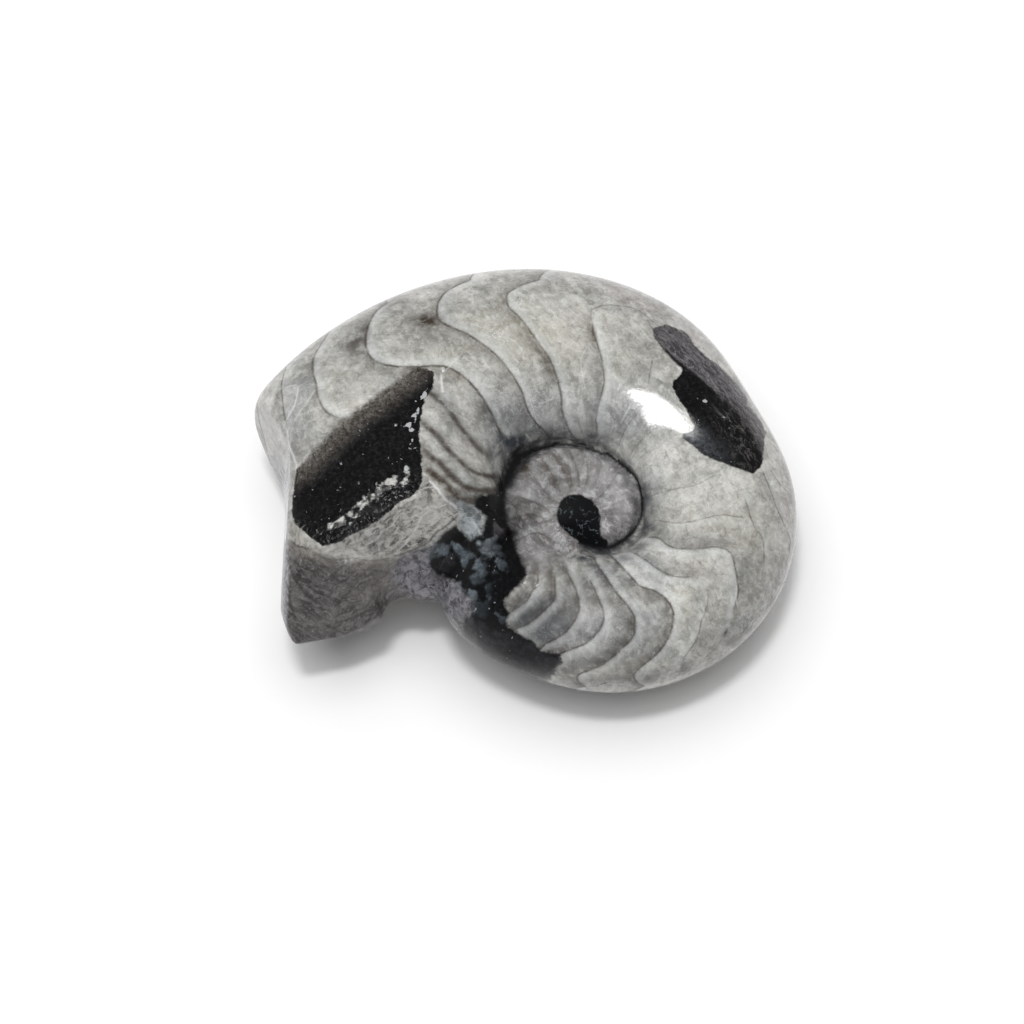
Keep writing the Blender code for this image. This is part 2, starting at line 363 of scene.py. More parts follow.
def rock_egg(name, side):
    place = Vector((ROCK_CENTRE.x, ROCK_CENTRE.y, ROCK_CENTRE.z * side))
    line = Vector((ROCK_LINE.x, ROCK_LINE.y, ROCK_LINE.z * side))
    return egg(name, place, line, ROCK_RADIUS, ROCK_HALF_LENGTH)


plug = egg("plug", Vector((0, 0, 0)), Vector((0, 0, 1)), PLUG_RADIUS, PLUG_HALF_HEIGHT)
rocks = [rock_egg("near_rock", 1.0), rock_egg("far_rock", -1.0)]
deselect()
for part in (last_whorl, inner_whorls, plug, *rocks):
    part.select_set(True)
bpy.context.view_layer.objects.active = last_whorl
bpy.ops.object.join()
stone = bpy.context.object
stone.name = "polished_goniatite"
stone.data.name = "polished_goniatite"

bpy.ops.object.modifier_add(type="REMESH")
skin = stone.modifiers[-1]
skin.mode = "VOXEL"
skin.voxel_size = VOXEL
bpy.ops.object.modifier_apply(modifier=skin.name)


def smooth_skin(rounds, group=""):
    """Rounds of smoothing, all over or where a vertex group holds them."""
    bpy.ops.object.modifier_add(type="SMOOTH")
    polish = stone.modifiers[-1]
    polish.factor = SMOOTHING
    polish.iterations = rounds
    polish.vertex_group = group
    bpy.ops.object.modifier_apply(modifier=polish.name)


smooth_skin(POLISHING_ROUNDS)
print("one skin", len(stone.data.vertices), "points")

# %% [markdown]
# The coil was built upright round its own axis. Now it leans as the stone does, moves to its place
# over the floor, and is cut flat where it rests.

# %% Lay the stone down
LEANING = Matrix.Rotation(PITCH, 4, "X") @ Matrix.Rotation(LEAN, 4, "Y")
COIL = Matrix.Translation(COIL_CENTRE) @ LEANING
COIL_INVERSE = COIL.inverted()

stone.data.transform(COIL)
deselect()
stone.select_set(True)
open_mesh(stone)
bpy.ops.mesh.bisect(
    plane_co=(0.0, 0.0, 0.0), plane_no=(0.0, 0.0, 1.0), use_fill=True, clear_inner=True
)
bpy.ops.object.mode_set(mode="OBJECT")
stone.data.update()

# %% [markdown]
# Markings are drawn on the stone through the camera: a place is read in the photo's frame of 1024
# by 1024 pixels, and a line of sight from the camera finds the point of the stone there. A line
# becomes a string of close points on the surface. A goniatite is alike on both flanks, so each
# line is repeated on the hidden one, mirrored in the middle plane of the coil.

# %% Look through the camera
CAMERA_TURN = Matrix.Rotation(CAMERA_TILT, 3, "X")
PIXEL = 0.144 * MM


def seen_at(x, y):
    """The point of the stone at a place of the photo's frame, or None beside it."""
    across = (x - FRAME_PIXELS / 2.0) / FRAME_PIXELS * SENSOR / LENS
    down = (y - FRAME_PIXELS / 2.0) / FRAME_PIXELS * SENSOR / LENS
    sight = (CAMERA_TURN @ Vector((across, -down, -1.0))).normalized()
    hit, place = stone.ray_cast(CAMERA_PLACE, sight)[:2]
    return place if hit else None


def skin_points():
    points = np.empty(len(stone.data.vertices) * 3)
    stone.data.vertices.foreach_get("co", points)
    return points.reshape(-1, 3)


def skin_normals():
    normals = np.empty(len(stone.data.vertices) * 3, np.float32)
    stone.data.vertex_normals.foreach_get("vector", normals)
    return normals.reshape(-1, 3).astype(float)


def move_skin(points):
    stone.data.vertices.foreach_set("co", points.ravel())
    stone.data.update()


# %% [markdown]
# The lowest corner of the horn is rounder than its other edges. A few more rounds of smoothing do
# that, and a vertex group holds them to the corner.

# %% Round the corner of the horn
CORNER_PLACE = (293.0, 629.0)
CORNER_REACH = 4.6 * MM
CORNER_LIMIT = 1.5 * CORNER_REACH
CORNER_ROUNDS = 45

corner = seen_at(*CORNER_PLACE)
from_corner = np.linalg.norm(skin_points() - np.array(corner), axis=1)
held = stone.vertex_groups.new(name="horn_corner")
for index in np.flatnonzero(from_corner < CORNER_LIMIT):
    share = math.exp(-((from_corner[index] / CORNER_REACH) ** 4))
    held.add([int(index)], share, "REPLACE")
smooth_skin(CORNER_ROUNDS, held.name)
stone.vertex_groups.clear()

# %% [markdown]
# Polishing is done by hand on a wheel, and one place on the shoulder came out a little flatter
# than the rest. It is the one that catches the lamp. Every point near it is moved most of the way
# towards one plane, less and less towards the edge of the place.

# %% Grind the flat place
FLAT_PLACE = (673.7, 414.9)
FLAT_NORMAL = Vector((-0.086, -0.266, 0.967)).normalized()
FLAT_TURN = math.radians(-34.2)
FLAT_HALF_LONG = 7.2 * MM
FLAT_HALF_SHORT = 3.6 * MM
FLAT_SHARE = 0.74
FLAT_DEPTH_LIMIT = 3.0 * MM

middle = seen_at(*FLAT_PLACE)
along = from_axis(FLAT_TURN)
along = (along - FLAT_NORMAL * along.dot(FLAT_NORMAL)).normalized()
across = FLAT_NORMAL.cross(along)
points = skin_points()
from_middle = points - np.array(middle)
long_share = from_middle @ np.array(along) / FLAT_HALF_LONG
short_share = from_middle @ np.array(across) / FLAT_HALF_SHORT
above = from_middle @ np.array(FLAT_NORMAL)
weight = np.exp(-(long_share ** 4 + short_share ** 4)) * (np.abs(above) < FLAT_DEPTH_LIMIT)
ground = FLAT_SHARE * weight * above
move_skin(points - ground[:, None] * np.array(FLAT_NORMAL))
print("ground by up to, mm", round(float(np.abs(ground).max() / MM), 2))


# %% [markdown]
# A drawn line is kept as close points with their direction, width and tone, and with the side
# that is shaded. A wall between two chambers stands aslant under the clear surface, so it shows
# as a soft shade on one side of its line.

# %% Draw through the camera
LINE_SPACING = 0.8
LEAST_POINTS = 4
BRIDGE_SPACING = 0.2 * MM
BRIDGE_LOOKS_BACK = 8
BRIDGE_LEAST_DROP = 0.05 * MM
BRIDGE_MOST_SWING = 0.16
BRIDGE_BULGE = 0.35
FULL_TURN = 2.0 * math.pi


def smooth_path(points, spacing):
    """Evenly close places on a smooth curve through the given ones."""
    given = np.array(points, float)
    ends = np.vstack([2 * given[0] - given[1], given, 2 * given[-1] - given[-2]])
    path = []
    for a, b, c, d in zip(ends, ends[1:], ends[2:], ends[3:]):
        count = max(int(np.linalg.norm(c - b) / spacing), 1)
        for t in np.arange(count) / count:
            path.append(0.5 * (2 * b + (c - a) * t + (2 * a - 5 * b + 4 * c - d) * t * t
                               + (3 * b - a - 3 * c + d) * t ** 3))
    path.append(given[-1])
    return np.array(path)


def mirrored(place):
    """The same place on the other flank."""
    inner = COIL_INVERSE @ place
    inner.z = -inner.z
    return COIL @ inner


def bridge(places):
    """Points across the outer edge of the whorl, which go on as the line arrives there."""
    first = COIL_INVERSE @ places[0]
    later = COIL_INVERSE @ places[min(BRIDGE_LOOKS_BACK, len(places) - 1)]
    turn = math.atan2(first.y, first.x)
    change = (math.atan2(later.y, later.x) - turn + math.pi) % FULL_TURN - math.pi
    drop = later.z - first.z
    slope = change / drop if abs(drop) > BRIDGE_LEAST_DROP else 0.0
    swing = max(-BRIDGE_MOST_SWING, min(BRIDGE_MOST_SWING, -slope * first.z / 2.0))
    reach = math.hypot(first.x, first.y)
    count = max(int(2.0 * first.z / BRIDGE_SPACING), 0)
    middle = []
    for step in range(1, count):
        share = 1.0 - 2.0 * step / count
        bulge = 1.0 + BRIDGE_BULGE * (1.0 - share ** 2)
        angle = turn + swing * (1.0 - share ** 2)
        height = Vector((0.0, 0.0, -first.z * share))
        middle.append(COIL @ ((from_axis(angle) * reach + height) * bulge))
    return middle


class Drawn:
    """All the lines of one kind, as close points on the stone."""

    def __init__(self):
        self.places = []
        self.sides = []
        self.widths = []
        self.tones = []
        self.shades = []

    def add(self, places, widths, tones, shade=(0.0, 0)):
        if len(places) < 3:
            return
        resting = [stone.closest_point_on_mesh(place)[1:3] for place in places]
        spots, normals = np.array(resting).transpose(1, 0, 2)
        tangents = np.gradient(spots, axis=0)
        sides = np.cross(normals, tangents)
        sides /= np.maximum(np.linalg.norm(sides, axis=1, keepdims=True), 1e-9)
        self.places.append(spots)
        self.sides.append(sides)
        self.widths.append(np.array(widths, float))
        self.tones.append(np.array(tones, float))
        self.shades.append(shade)

    def gathered(self):
        return [np.concatenate(part) for part in (self.places, self.sides, self.widths, self.tones)]


def taper(count, length):
    """Rises from nothing at the line's start to one, and falls again at its end."""
    index = np.arange(count, dtype=float)
    return np.clip(index / length, 0, 1) * np.clip((count - 1 - index) / length, 0, 1)


def draw_line(drawn, points, width, tone, shade=(0.0, 0), both_flanks=True, crosses=True, fade=8):
    """Draws a line of the photo's frame on the stone. Width is in pixels, tone from 0 to 1."""
    seen = [seen_at(x, y) for x, y in smooth_path(points, LINE_SPACING)]
    places = [place for place in seen if place is not None]
    if len(places) < LEAST_POINTS:
        print("a line misses the stone at", points[0])
        return
    start = (COIL_INVERSE @ places[0]).z
    whole = list(places)
    if both_flanks:
        copies = [mirrored(place) for place in reversed(places)]
        if crosses:
            joined = [c for c in copies if (COIL_INVERSE @ c).z < min(start, -start)]
            whole = joined + bridge(places) + places
        else:
            drawn.add(copies, np.full(len(copies), width), tone * taper(len(copies), fade), shade)
    drawn.add(whole, np.full(len(whole), width), tone * taper(len(whole), fade), shade)


# %% [markdown]
# The sutures are the edges of the walls between the chambers. Each is one curve from the outer
# edge of the whorl to the seam. They are listed from the mouth backwards round the coil, each with
# its width, its tone, the strength and side of its shade, and its points. The long ones go on over
# the outer edge to the hidden flank.

# %% The sutures
SUTURES = (
    (1.94, 0.75, 0.17, -1, ((257.7, 399), (258.7, 418), (263.5, 435.6), (269, 458.5))),
    (1.94, 0.75, 0.17, -1, ((292, 360), (287, 365), (282, 382), (282, 395), (284, 413),
        (287, 426))),
    (2.11, 0.85, 0.42, -1, ((350, 312), (337, 321), (324, 340), (314, 357), (313, 372),
        (316, 384), (318, 397), (324, 409), (333, 416), (345, 419))),
    (2.29, 0.95, 0.59, -1, ((386, 304), (381, 307), (373.5, 315), (368, 326.5), (365.5, 340),
        (368, 353), (377, 362), (393, 366), (412, 367), (433, 366), (446, 367), (460, 374),
        (475, 388), (488, 407), (498, 428), (503, 436))),
    (2.11, 0.90, 0.51, -1, ((470, 280), (456, 286), (446, 292), (438.5, 302), (437, 313),
        (440, 321), (452, 327.5), (467, 334), (482.5, 344), (498, 357), (509, 370.5), (521, 390),
        (526.5, 407), (533, 419), (542, 429), (552, 439))),
    (1.94, 0.80, 0.51, -1, ((538, 280), (524.6, 284), (514, 289), (507, 295), (508, 305.5),
        (517, 315), (528, 328), (539, 344), (550, 360), (557, 378), (561, 395), (562, 410),
        (566, 422.5), (572, 435), (580, 442))),
)
FLANK_LINES = (
    (1.76, 0.75, 0.59, -1, ((592, 322), (594, 335), (598, 346), (602, 361), (604, 380),
        (602, 392), (598, 406), (596, 419), (597, 430), (597.5, 438))),
    (1.58, 0.55, 0.0, -1, ((666, 330), (657, 325), (644, 314), (632, 308), (621, 306), (609, 305),
        (600, 306.5), (593, 309), (591, 314), (592, 323))),
    (1.41, 0.60, 0.1, -1, ((653, 354), (652, 361), (650, 373), (648, 386))),
    (1.23, 0.45, 0.1, -1, ((648, 398), (641, 409), (635, 416), (627, 427), (621, 438),
        (619, 447))),
    (1.14, 0.40, 0.07, -1, ((656, 424), (650, 432), (641, 441), (633.5, 450), (627, 459))),
    (1.06, 0.35, 0.0, -1, ((667, 438), (658, 447), (646, 453), (636, 462))),
    (1.23, 0.45, 0.16, -1, ((576, 415), (579, 422), (581, 430), (586, 438))),
    (1.14, 0.40, 0.13, -1, ((545, 421), (553, 430), (563, 439))),
    (1.06, 0.35, 0.0, -1, ((437, 398), (458, 413), (480, 424))),
)
CURLED_SUTURES = (
    (4.6, 0.85, 0.72, 0, ((425, 390), (433, 395), (446, 407), (461.5, 428), (477, 447),
        (488, 456))),
    (5.4, 0.90, 0.80, 0, ((419, 421), (423, 424), (437, 436), (450, 451), (463, 464), (477, 473),
        (490, 476), (500, 477))),
    (6.4, 1.00, 0.90, 0, ((420, 447), (427, 453), (440, 464), (456, 480), (471, 489), (488, 491),
        (504, 487))),
    (7.6, 1.00, 0.90, 0, ((424, 467), (432, 473), (444, 483), (460, 497), (477, 501),
        (496, 499))),
)
RIGHT_SUTURES = (
    (1.23, 0.45, 0.09, -1, ((721, 472), (695, 485), (670, 490), (647, 497))),
    (1.32, 0.60, 0.18, -1, ((746, 518), (723, 515), (705, 518), (682, 523), (654, 520))),
    (1.67, 0.80, 0.36, -1, ((733, 615), (738, 593), (738, 586), (733, 558), (728, 551),
        (722, 548), (713, 547), (694, 549), (676, 548), (667, 544.5), (658, 538), (644, 537))),
    (1.67, 0.80, 0.36, -1, ((695, 578), (689, 577), (679, 577), (667, 574), (655, 567),
        (643, 558), (630, 551))),
)
LOWER_SUTURES = (
    (2.11, 0.90, 0.76, 1, ((643, 686), (636.5, 682), (634, 675), (641, 667), (652, 658),
        (661, 649), (669, 636), (672.5, 624), (673, 612), (669, 603), (661, 595), (652, 590),
        (640, 586), (632, 578), (624, 569), (615, 560), (606, 551))),
    (2.11, 0.90, 0.8, 1, ((586, 687), (578, 681), (578, 675), (586, 671.5), (598, 667),
        (610.5, 659), (621, 649), (632, 638), (635, 626), (633.5, 615), (626, 604), (617, 593.5),
        (607.5, 580), (598, 566), (592, 554))),
    (1.94, 0.85, 0.7, 1, ((556, 655), (569, 650), (581, 645.5), (591, 639), (601, 627),
        (604, 615), (600, 603), (594, 589), (588, 577))),
    (1.94, 0.85, 0.8, 1, ((545, 644), (561.5, 635), (571, 625.6), (577, 615), (579, 605),
        (575, 588), (569, 576), (566, 566))),
    (1.94, 0.80, 0.84, 1, ((518, 628), (532, 621), (546, 608.5), (552, 602), (555, 595),
        (554, 573))),
    (1.76, 0.80, 0.76, 1, ((509, 613), (515, 609), (526, 601), (533, 590), (537, 585),
        (538, 572))),
)
EDGE_SUTURES = (
    (1.58, 0.65, 0.18, -1, ((761, 468), (768, 484), (776, 506), (783.5, 523), (790, 540),
        (788, 560))),
    (1.23, 0.45, 0.0, -1, ((767, 466), (781, 485), (790, 494))),
    (1.58, 0.60, 0.15, -1, ((744, 496), (754, 526), (762, 537), (764, 551), (764, 566))),
    (1.58, 0.65, 0.18, -1, ((681, 664), (685.5, 656), (693, 645.5), (698.5, 635), (701, 623),
        (705, 612), (708, 600), (707, 587))),
    (1.23, 0.45, 0.0, -1, ((722, 641), (714, 650), (705, 658))),
)
INNER_SUTURES = (
    (1.5, 0.45, 0.27, -1, ((556, 451), (569, 471), (572, 491))),
    (1.5, 0.45, 0.27, -1, ((544, 462), (556, 481), (562, 496))),
    (1.5, 0.50, 0.27, -1, ((569, 450), (578, 473), (579, 490))),
    (1.5, 0.50, 0.27, -1, ((585, 453), (588, 473), (584, 490))),
    (1.5, 0.45, 0.27, -1, ((529, 468), (541, 487), (553, 499))),
    (1.5, 0.45, 0.27, -1, ((511, 494), (531, 501), (551, 511))),
    (1.5, 0.45, 0.27, -1, ((511, 519), (531, 514), (546, 519))),
    (1.6, 0.55, 0.22, -1, ((512, 543), (524, 537), (537, 533), (549, 538), (559, 547))),
    (1.4, 0.40, 0.18, -1, ((603, 457), (599, 474), (592, 490))),
    (1.4, 0.35, 0.18, -1, ((620, 470), (610, 484), (600, 498))),
)

LONG_SUTURES = SUTURES + LOWER_SUTURES
SHORT_SUTURES = FLANK_LINES + CURLED_SUTURES + RIGHT_SUTURES + EDGE_SUTURES + INNER_SUTURES

sutures = Drawn()
for group, crosses in ((LONG_SUTURES, True), (SHORT_SUTURES, False)):
    for width, tone, strength, side, way in group:
        draw_line(sutures, way, width, tone, (strength, side), crosses=crosses)
print("sutures", sum(len(part) for part in sutures.places), "points")

# %% The seam
SEAM = (
    (526, 576, 2), (523, 570, 3), (518, 561, 4), (513.5, 552, 6), (508, 529, 11), (501, 510, 15),
    (503, 490, 12), (508, 478, 11), (513, 466, 12), (520, 457, 13), (530, 450.5, 10),
    (541, 446.5, 7), (552, 444, 5), (560, 443, 4), (580, 444.6, 3), (591, 447.7, 3),
    (603, 453, 3), (614, 459, 3), (624, 468, 3), (632, 476, 3), (636.5, 484, 3), (639, 493, 3.2),
    (640.4, 502, 3.2), (640.4, 514, 3.4), (638, 525, 3.8), (632, 534, 4.2), (626, 539, 5),
    (618, 544, 6.5), (608, 547, 8), (596, 546, 9), (586, 543, 8), (578, 540, 6),
)
WIDTH_SCALE = 10.0
SEAM_SPACING = 1.0
SEAM_TAPER = 4

seam = Drawn()
seam_places = []
seam_widths = []
for x, y, width in smooth_path([(x, y, w * WIDTH_SCALE) for x, y, w in SEAM], SEAM_SPACING):
    place = seen_at(x, y)
    if place is not None:
        seam_places.append(place)
        seam_widths.append(width / WIDTH_SCALE)
for flank in (seam_places, [mirrored(place) for place in seam_places]):
    seam.add(flank, seam_widths, taper(len(flank), SEAM_TAPER))
print("seam", len(seam_places), "points a side")

# %% [markdown]
# Two more kinds of line cross the stone: cracks that healed with white calcite, and dark streaks
# where rock was squeezed between the crystals or lies in folds on the broken end. Each has its
# width, its tone and its points, and is drawn on the near flank alone.

# %% Cracks and streaks
CRACKS = (
    (4.0, 0.95, ((443.5, 366), (442.5, 371), (441.5, 377))),
    (1.9, 0.80, ((441.5, 372), (441.5, 382), (443.5, 395))),
    (1.4, 0.36, ((442, 374), (452, 364), (463, 352))),
    (1.6, 0.55, ((470.6, 518), (478, 529), (485, 539), (492, 546), (506, 561), (516, 569),
        (523, 575))),
    (2.4, 0.70, ((428, 479), (438, 490), (446, 500), (453, 505), (458, 511))),
    (2.0, 0.60, ((423, 510), (420, 520), (417, 527), (411, 536), (404, 545), (396, 551))),
    (1.6, 0.50, ((433, 508), (421, 516), (415, 515), (408, 520))),
    (1.8, 0.55, ((450, 503), (438, 507), (430, 506), (424, 510), (418, 506), (409, 509))),
    (1.5, 0.45, ((398, 517), (391, 526), (383, 530), (376, 540), (365, 545))),
    (1.4, 0.40, ((385, 520), (377, 527), (368, 530), (360, 538))),
    (1.5, 0.55, ((471, 520), (477, 527), (481, 533))),
    (1.6, 0.60, ((299, 385), (297, 395), (294, 406), (289, 415), (286, 422))),
    (1.6, 0.35, ((316, 388), (311, 396), (306, 404), (301, 410), (292, 425))),
    (1.3, 0.50, ((299, 385), (291, 386), (283, 389))),
    (2.4, 0.65, ((287, 427), (289, 445), (294, 458), (297, 470), (295, 483), (292, 497))),
    (1.5, 0.60, ((297.5, 534), (298, 540))),
    (1.8, 0.50, ((326.5, 532), (328, 538))),
    (2.2, 0.60, ((345, 555), (346, 561), (345.5, 566))),
    (1.3, 0.45, ((620, 424), (628, 410), (634, 398))),
    (1.1, 0.40, ((715, 476), (722, 471), (727, 465))),
    (1.6, 0.70, ((748, 628), (752, 622), (757, 617))),
    (1.4, 0.60, ((759, 610), (765, 605), (770, 602))),
    (1.3, 0.50, ((728, 646), (733, 650), (742, 644))),
    (1.2, 0.50, ((737, 582), (736, 596), (738, 608))),
    (1.2, 0.35, ((588, 345), (581, 360), (583, 378), (586, 392))),
    (1.2, 0.35, ((560, 300), (574, 313), (588, 322))),
    (1.3, 0.35, ((500, 336), (512, 340), (522, 350), (524, 363))),
    (1.3, 0.40, ((498, 340), (505, 330), (510, 325))),
    (1.4, 0.40, ((478, 356), (485, 363), (492, 372))),
    (1.3, 0.45, ((524, 432), (529, 438), (533, 444))),
    (1.1, 0.35, ((536, 405), (545, 402), (553, 398), (556, 391))),
    (1.0, 0.30, ((612, 311), (622, 325), (633, 333), (645, 345))),
    (1.0, 0.30, ((630, 318), (642, 330), (652, 343))),
)
STREAKS = (
    (2.2, 0.80, ((459, 514), (453, 520), (446, 526), (436, 533), (428, 542), (417, 548),
        (402, 554), (392, 557))),
    (3.0, 0.60, ((459, 525), (450, 530), (444, 537), (438, 541))),
    (1.8, 0.80, ((289, 539), (296, 545), (304, 548), (312.5, 549.5))),
    (2.6, 0.60, ((289, 557), (292, 560), (296, 563), (302, 567), (310, 570))),
    (2.2, 0.70, ((290.5, 568.5), (294, 576), (299, 585), (305, 593), (312.5, 599), (319, 603),
        (326, 605))),
    (2.2, 0.70, ((289, 592), (290, 600), (292, 608), (296, 621))),
    (1.8, 0.55, ((299, 568.5), (308, 579), (318, 588), (324, 598), (329, 608))),
    (1.6, 0.45, ((301, 556), (315, 563), (330, 572), (340, 584))),
    (1.6, 0.45, ((318, 556), (334, 560), (352, 558), (372, 561), (392, 557))),
    (1.6, 0.40, ((345, 575), (360, 570), (378, 571), (396, 575))),
    (1.4, 0.40, ((306, 601), (318, 615), (330, 622))),
    (1.6, 0.50, ((300, 628), (320, 627), (345, 620), (368, 611))),
    (1.5, 0.40, ((341, 541), (350, 545), (362, 541), (375, 534), (388, 526))),
    (1.4, 0.40, ((352, 551), (366, 549), (380, 541), (392, 536))),
    (3.6, 0.90, ((661, 347.5), (667, 352), (673, 358), (685.5, 369), (698, 378), (707, 386),
        (715, 392))),
    (1.6, 0.55, ((646, 318), (652, 328), (661, 341))),
    (3.0, 0.90, ((723.5, 638), (726, 632), (728, 627))),
    (2.0, 0.75, ((739, 635), (745, 630), (751, 623))),
    (1.6, 0.60, ((764, 612), (770, 604), (776, 596))),
    (2.4, 0.70, ((258.5, 416), (260, 424), (263, 434))),
    (1.8, 0.65, ((295, 432), (298, 440))),
    (1.3, 0.45, ((281, 459), (287, 446), (290, 437))),
    (1.3, 0.40, ((277, 452), (283, 440), (287, 430))),
    (3.4, 0.85, ((480, 507), (489, 511), (495, 520))),
)

CRACK_FADE = 6

cracks = Drawn()
streaks = Drawn()
for drawn, group in ((cracks, CRACKS), (streaks, STREAKS)):
    for width, tone, way in group:
        draw_line(drawn, way, width, tone, both_flanks=False, fade=CRACK_FADE)
print("cracks", len(cracks.places), "and streaks", len(streaks.places))


# %% [markdown]
# The seam is a groove: the last whorl overlaps the one before, and grinding leaves a step. Each
# point of the skin near the seam's line is pressed in along its normal.

# %% Press the seam in
def tree_of(places):
    tree = KDTree(len(places))
    for index, place in enumerate(places):
        tree.insert(place, index)
    tree.balance()
    return tree


GROOVE_DEPTH = 0.5 * MM
GROOVE_EDGE = 0.336 * MM
GROOVE_WIDTH_SHARE = 0.4 * PIXEL
GROOVE_LIMIT = 3.0

seam_spots, _, seam_widths, seam_tones = seam.gathered()
seam_tree = tree_of(seam_spots)
points = skin_points()
normals = skin_normals()
moved = points.copy()
for index, place in enumerate(points):
    _, nearest, gap = seam_tree.find(place)
    reach = GROOVE_EDGE + GROOVE_WIDTH_SHARE * seam_widths[nearest]
    if gap < GROOVE_LIMIT * reach:
        press = GROOVE_DEPTH * seam_tones[nearest] * math.exp(-((gap / reach) ** 2))
        moved[index] -= normals[index] * press
move_skin(moved)
points = skin_points()
normals = skin_normals()


# %% [markdown]
# A shader needs to know how far each point of the surface is from the nearest line. Every corner
# of every face stores its distance to the side of that line, in millimetres, with a plus on one
# side and a minus on the other. Between the corners that runs straight through zero, so even a
# line much thinner than a face comes out sharp.

# %% Measure the distance to the lines
BESIDE_NO_LINE = 9.0


def corner_layout():
    mesh = stone.data
    starts = np.empty(len(mesh.polygons), int)
    totals = np.empty(len(mesh.polygons), int)
    corners = np.empty(len(mesh.loops), int)
    mesh.polygons.foreach_get("loop_start", starts)
    mesh.polygons.foreach_get("loop_total", totals)
    mesh.loops.foreach_get("vertex_index", corners)
    owner = np.repeat(np.arange(len(starts)), totals)
    centres = np.empty(len(mesh.polygons) * 3)
    mesh.polygons.foreach_get("center", centres)
    return corners, owner, centres.reshape(-1, 3)


def store(name, domain, values):
    layer = stone.data.attributes.new(name, "FLOAT", domain)
    layer.data.foreach_set("value", np.asarray(values, np.float32))


corners, owner, centres = corner_layout()


def measure_lines(name, drawn, reach):
    spots, sides, widths, tones = drawn.gathered()
    tree = tree_of(spots)
    nearest = np.empty(len(centres), int)
    gaps = np.empty(len(centres))
    for index, centre in enumerate(centres):
        _, nearest[index], gaps[index] = tree.find(centre)
    found = nearest[owner]
    aside = np.einsum("ij,ij->i", points[corners] - spots[found], sides[found]) / MM
    aside[gaps[owner] > reach] = BESIDE_NO_LINE
    store(name + "_aside", "CORNER", aside)
    store(name + "_width", "CORNER", widths[found] * PIXEL / MM)
    store(name + "_tone", "CORNER", tones[found])


MEASURED = (("suture", sutures, 4.0), ("seam", seam, 4.0), ("crack", cracks, 1.2),
            ("streak", streaks, 2.0))
for name, drawn, reach in MEASURED:
    measure_lines(name, drawn, reach * MM)

# %% [markdown]
# The soft shade beside a suture is wide and has no edge of its own, so it is measured at the
# points of the skin: full at the line, and weaker with the distance, on the shaded side only. The
# other side gets a narrow pale band.

# %% Shade beside the sutures
SHADE_REACH = 1.9
GROOVE_REACH = 0.95
SHADE_FALL = 1.3
SHADE_LIMIT = 5.0 * MM
SHADE_STRIDE = 3
SIDE_BLUR = 0.25
PALE_GAP = 0.7
PALE_SPREAD = 0.6
PALE_SIDE = -0.1
PALE_SHARE = 1.6
PALE_MOST = 0.6


def shade_beside(drawn):
    clear = np.ones(len(points))
    unlit = np.ones(len(points))
    for spots, sides, (strength, side) in zip(drawn.places, drawn.sides, drawn.shades):
        if strength == 0.0:
            continue
        low = spots.min(axis=0) - SHADE_LIMIT
        high = spots.max(axis=0) + SHADE_LIMIT
        near = np.flatnonzero(np.all((points > low) & (points < high), axis=1))
        some = spots[::SHADE_STRIDE].astype(np.float32)
        some_sides = sides[::SHADE_STRIDE].astype(np.float32)
        offset = points[near].astype(np.float32)[:, None, :] - some[None, :, :]
        gaps = np.einsum("ijk,ijk->ij", offset, offset)
        nearest = gaps.argmin(axis=1)
        rows = np.arange(len(near))
        gap = np.sqrt(gaps[rows, nearest]) / MM
        aside = np.einsum("ij,ij->i", offset[rows, nearest], some_sides[nearest]) / MM * side
        shaded = np.exp(-(gap / (SHADE_REACH if side else GROOVE_REACH)) ** SHADE_FALL)
        if side:
            shaded *= np.clip((aside + SIDE_BLUR) / (2.0 * SIDE_BLUR), 0.0, 1.0)
            lit = np.exp(-((gap - PALE_GAP) / PALE_SPREAD) ** 2) * (aside < PALE_SIDE)
            unlit[near] *= 1.0 - lit * min(strength * PALE_SHARE, PALE_MOST)
        clear[near] *= 1.0 - strength * shaded
    return 1.0 - clear, 1.0 - unlit


shade, pale = shade_beside(sutures)
store("suture_shade", "POINT", shade)
store("suture_pale", "POINT", pale)
print("shade from", round(float(shade.min()), 2), "to", round(float(shade.max()), 2))

# %% [markdown]
# Patches of colour are drawn the same way, each as a closed shape in the photo's frame. Every
# point of the skin stores how far inside the shape's edge it lies, so the shader can make the
# edge crisp, ragged or soft. The hidden flank takes the mirrored shape or none.

# %% Tools for patches
TURNING_FADE = 0.25
FAR_OUTSIDE = -30.0
PATCH_LIMIT = 4.0


def frame_places(places):
    """Where the camera sees these points, in the photo's frame."""
    turned = (places - np.array(CAMERA_PLACE)) @ np.array(CAMERA_TURN)
    x = FRAME_PIXELS / 2.0 + turned[:, 0] / -turned[:, 2] * LENS / SENSOR * FRAME_PIXELS
    y = FRAME_PIXELS / 2.0 - turned[:, 1] / -turned[:, 2] * LENS / SENSOR * FRAME_PIXELS
    return np.column_stack([x, y])


def in_coil(places):
    inverse = np.array(COIL_INVERSE)
    return places @ inverse[:3, :3].T + inverse[:3, 3]


def from_coil(places):
    matrix = np.array(COIL)
    return places @ matrix[:3, :3].T + matrix[:3, 3]


coil_points = in_coil(points)
flipped = coil_points * np.array([1.0, 1.0, -1.0])
direct_view = frame_places(points)
mirror_view = frame_places(from_coil(flipped))
view = np.array(CAMERA_PLACE) - points
view /= np.linalg.norm(view, axis=1, keepdims=True)
facing = np.einsum("ij,ij->i", normals, view)
shown = np.clip((facing + TURNING_FADE) / TURNING_FADE, 0.0, 1.0)
shown = shown * shown * (3.0 - 2.0 * shown)
shown[coil_points[:, 2] > 0.0] = 1.0


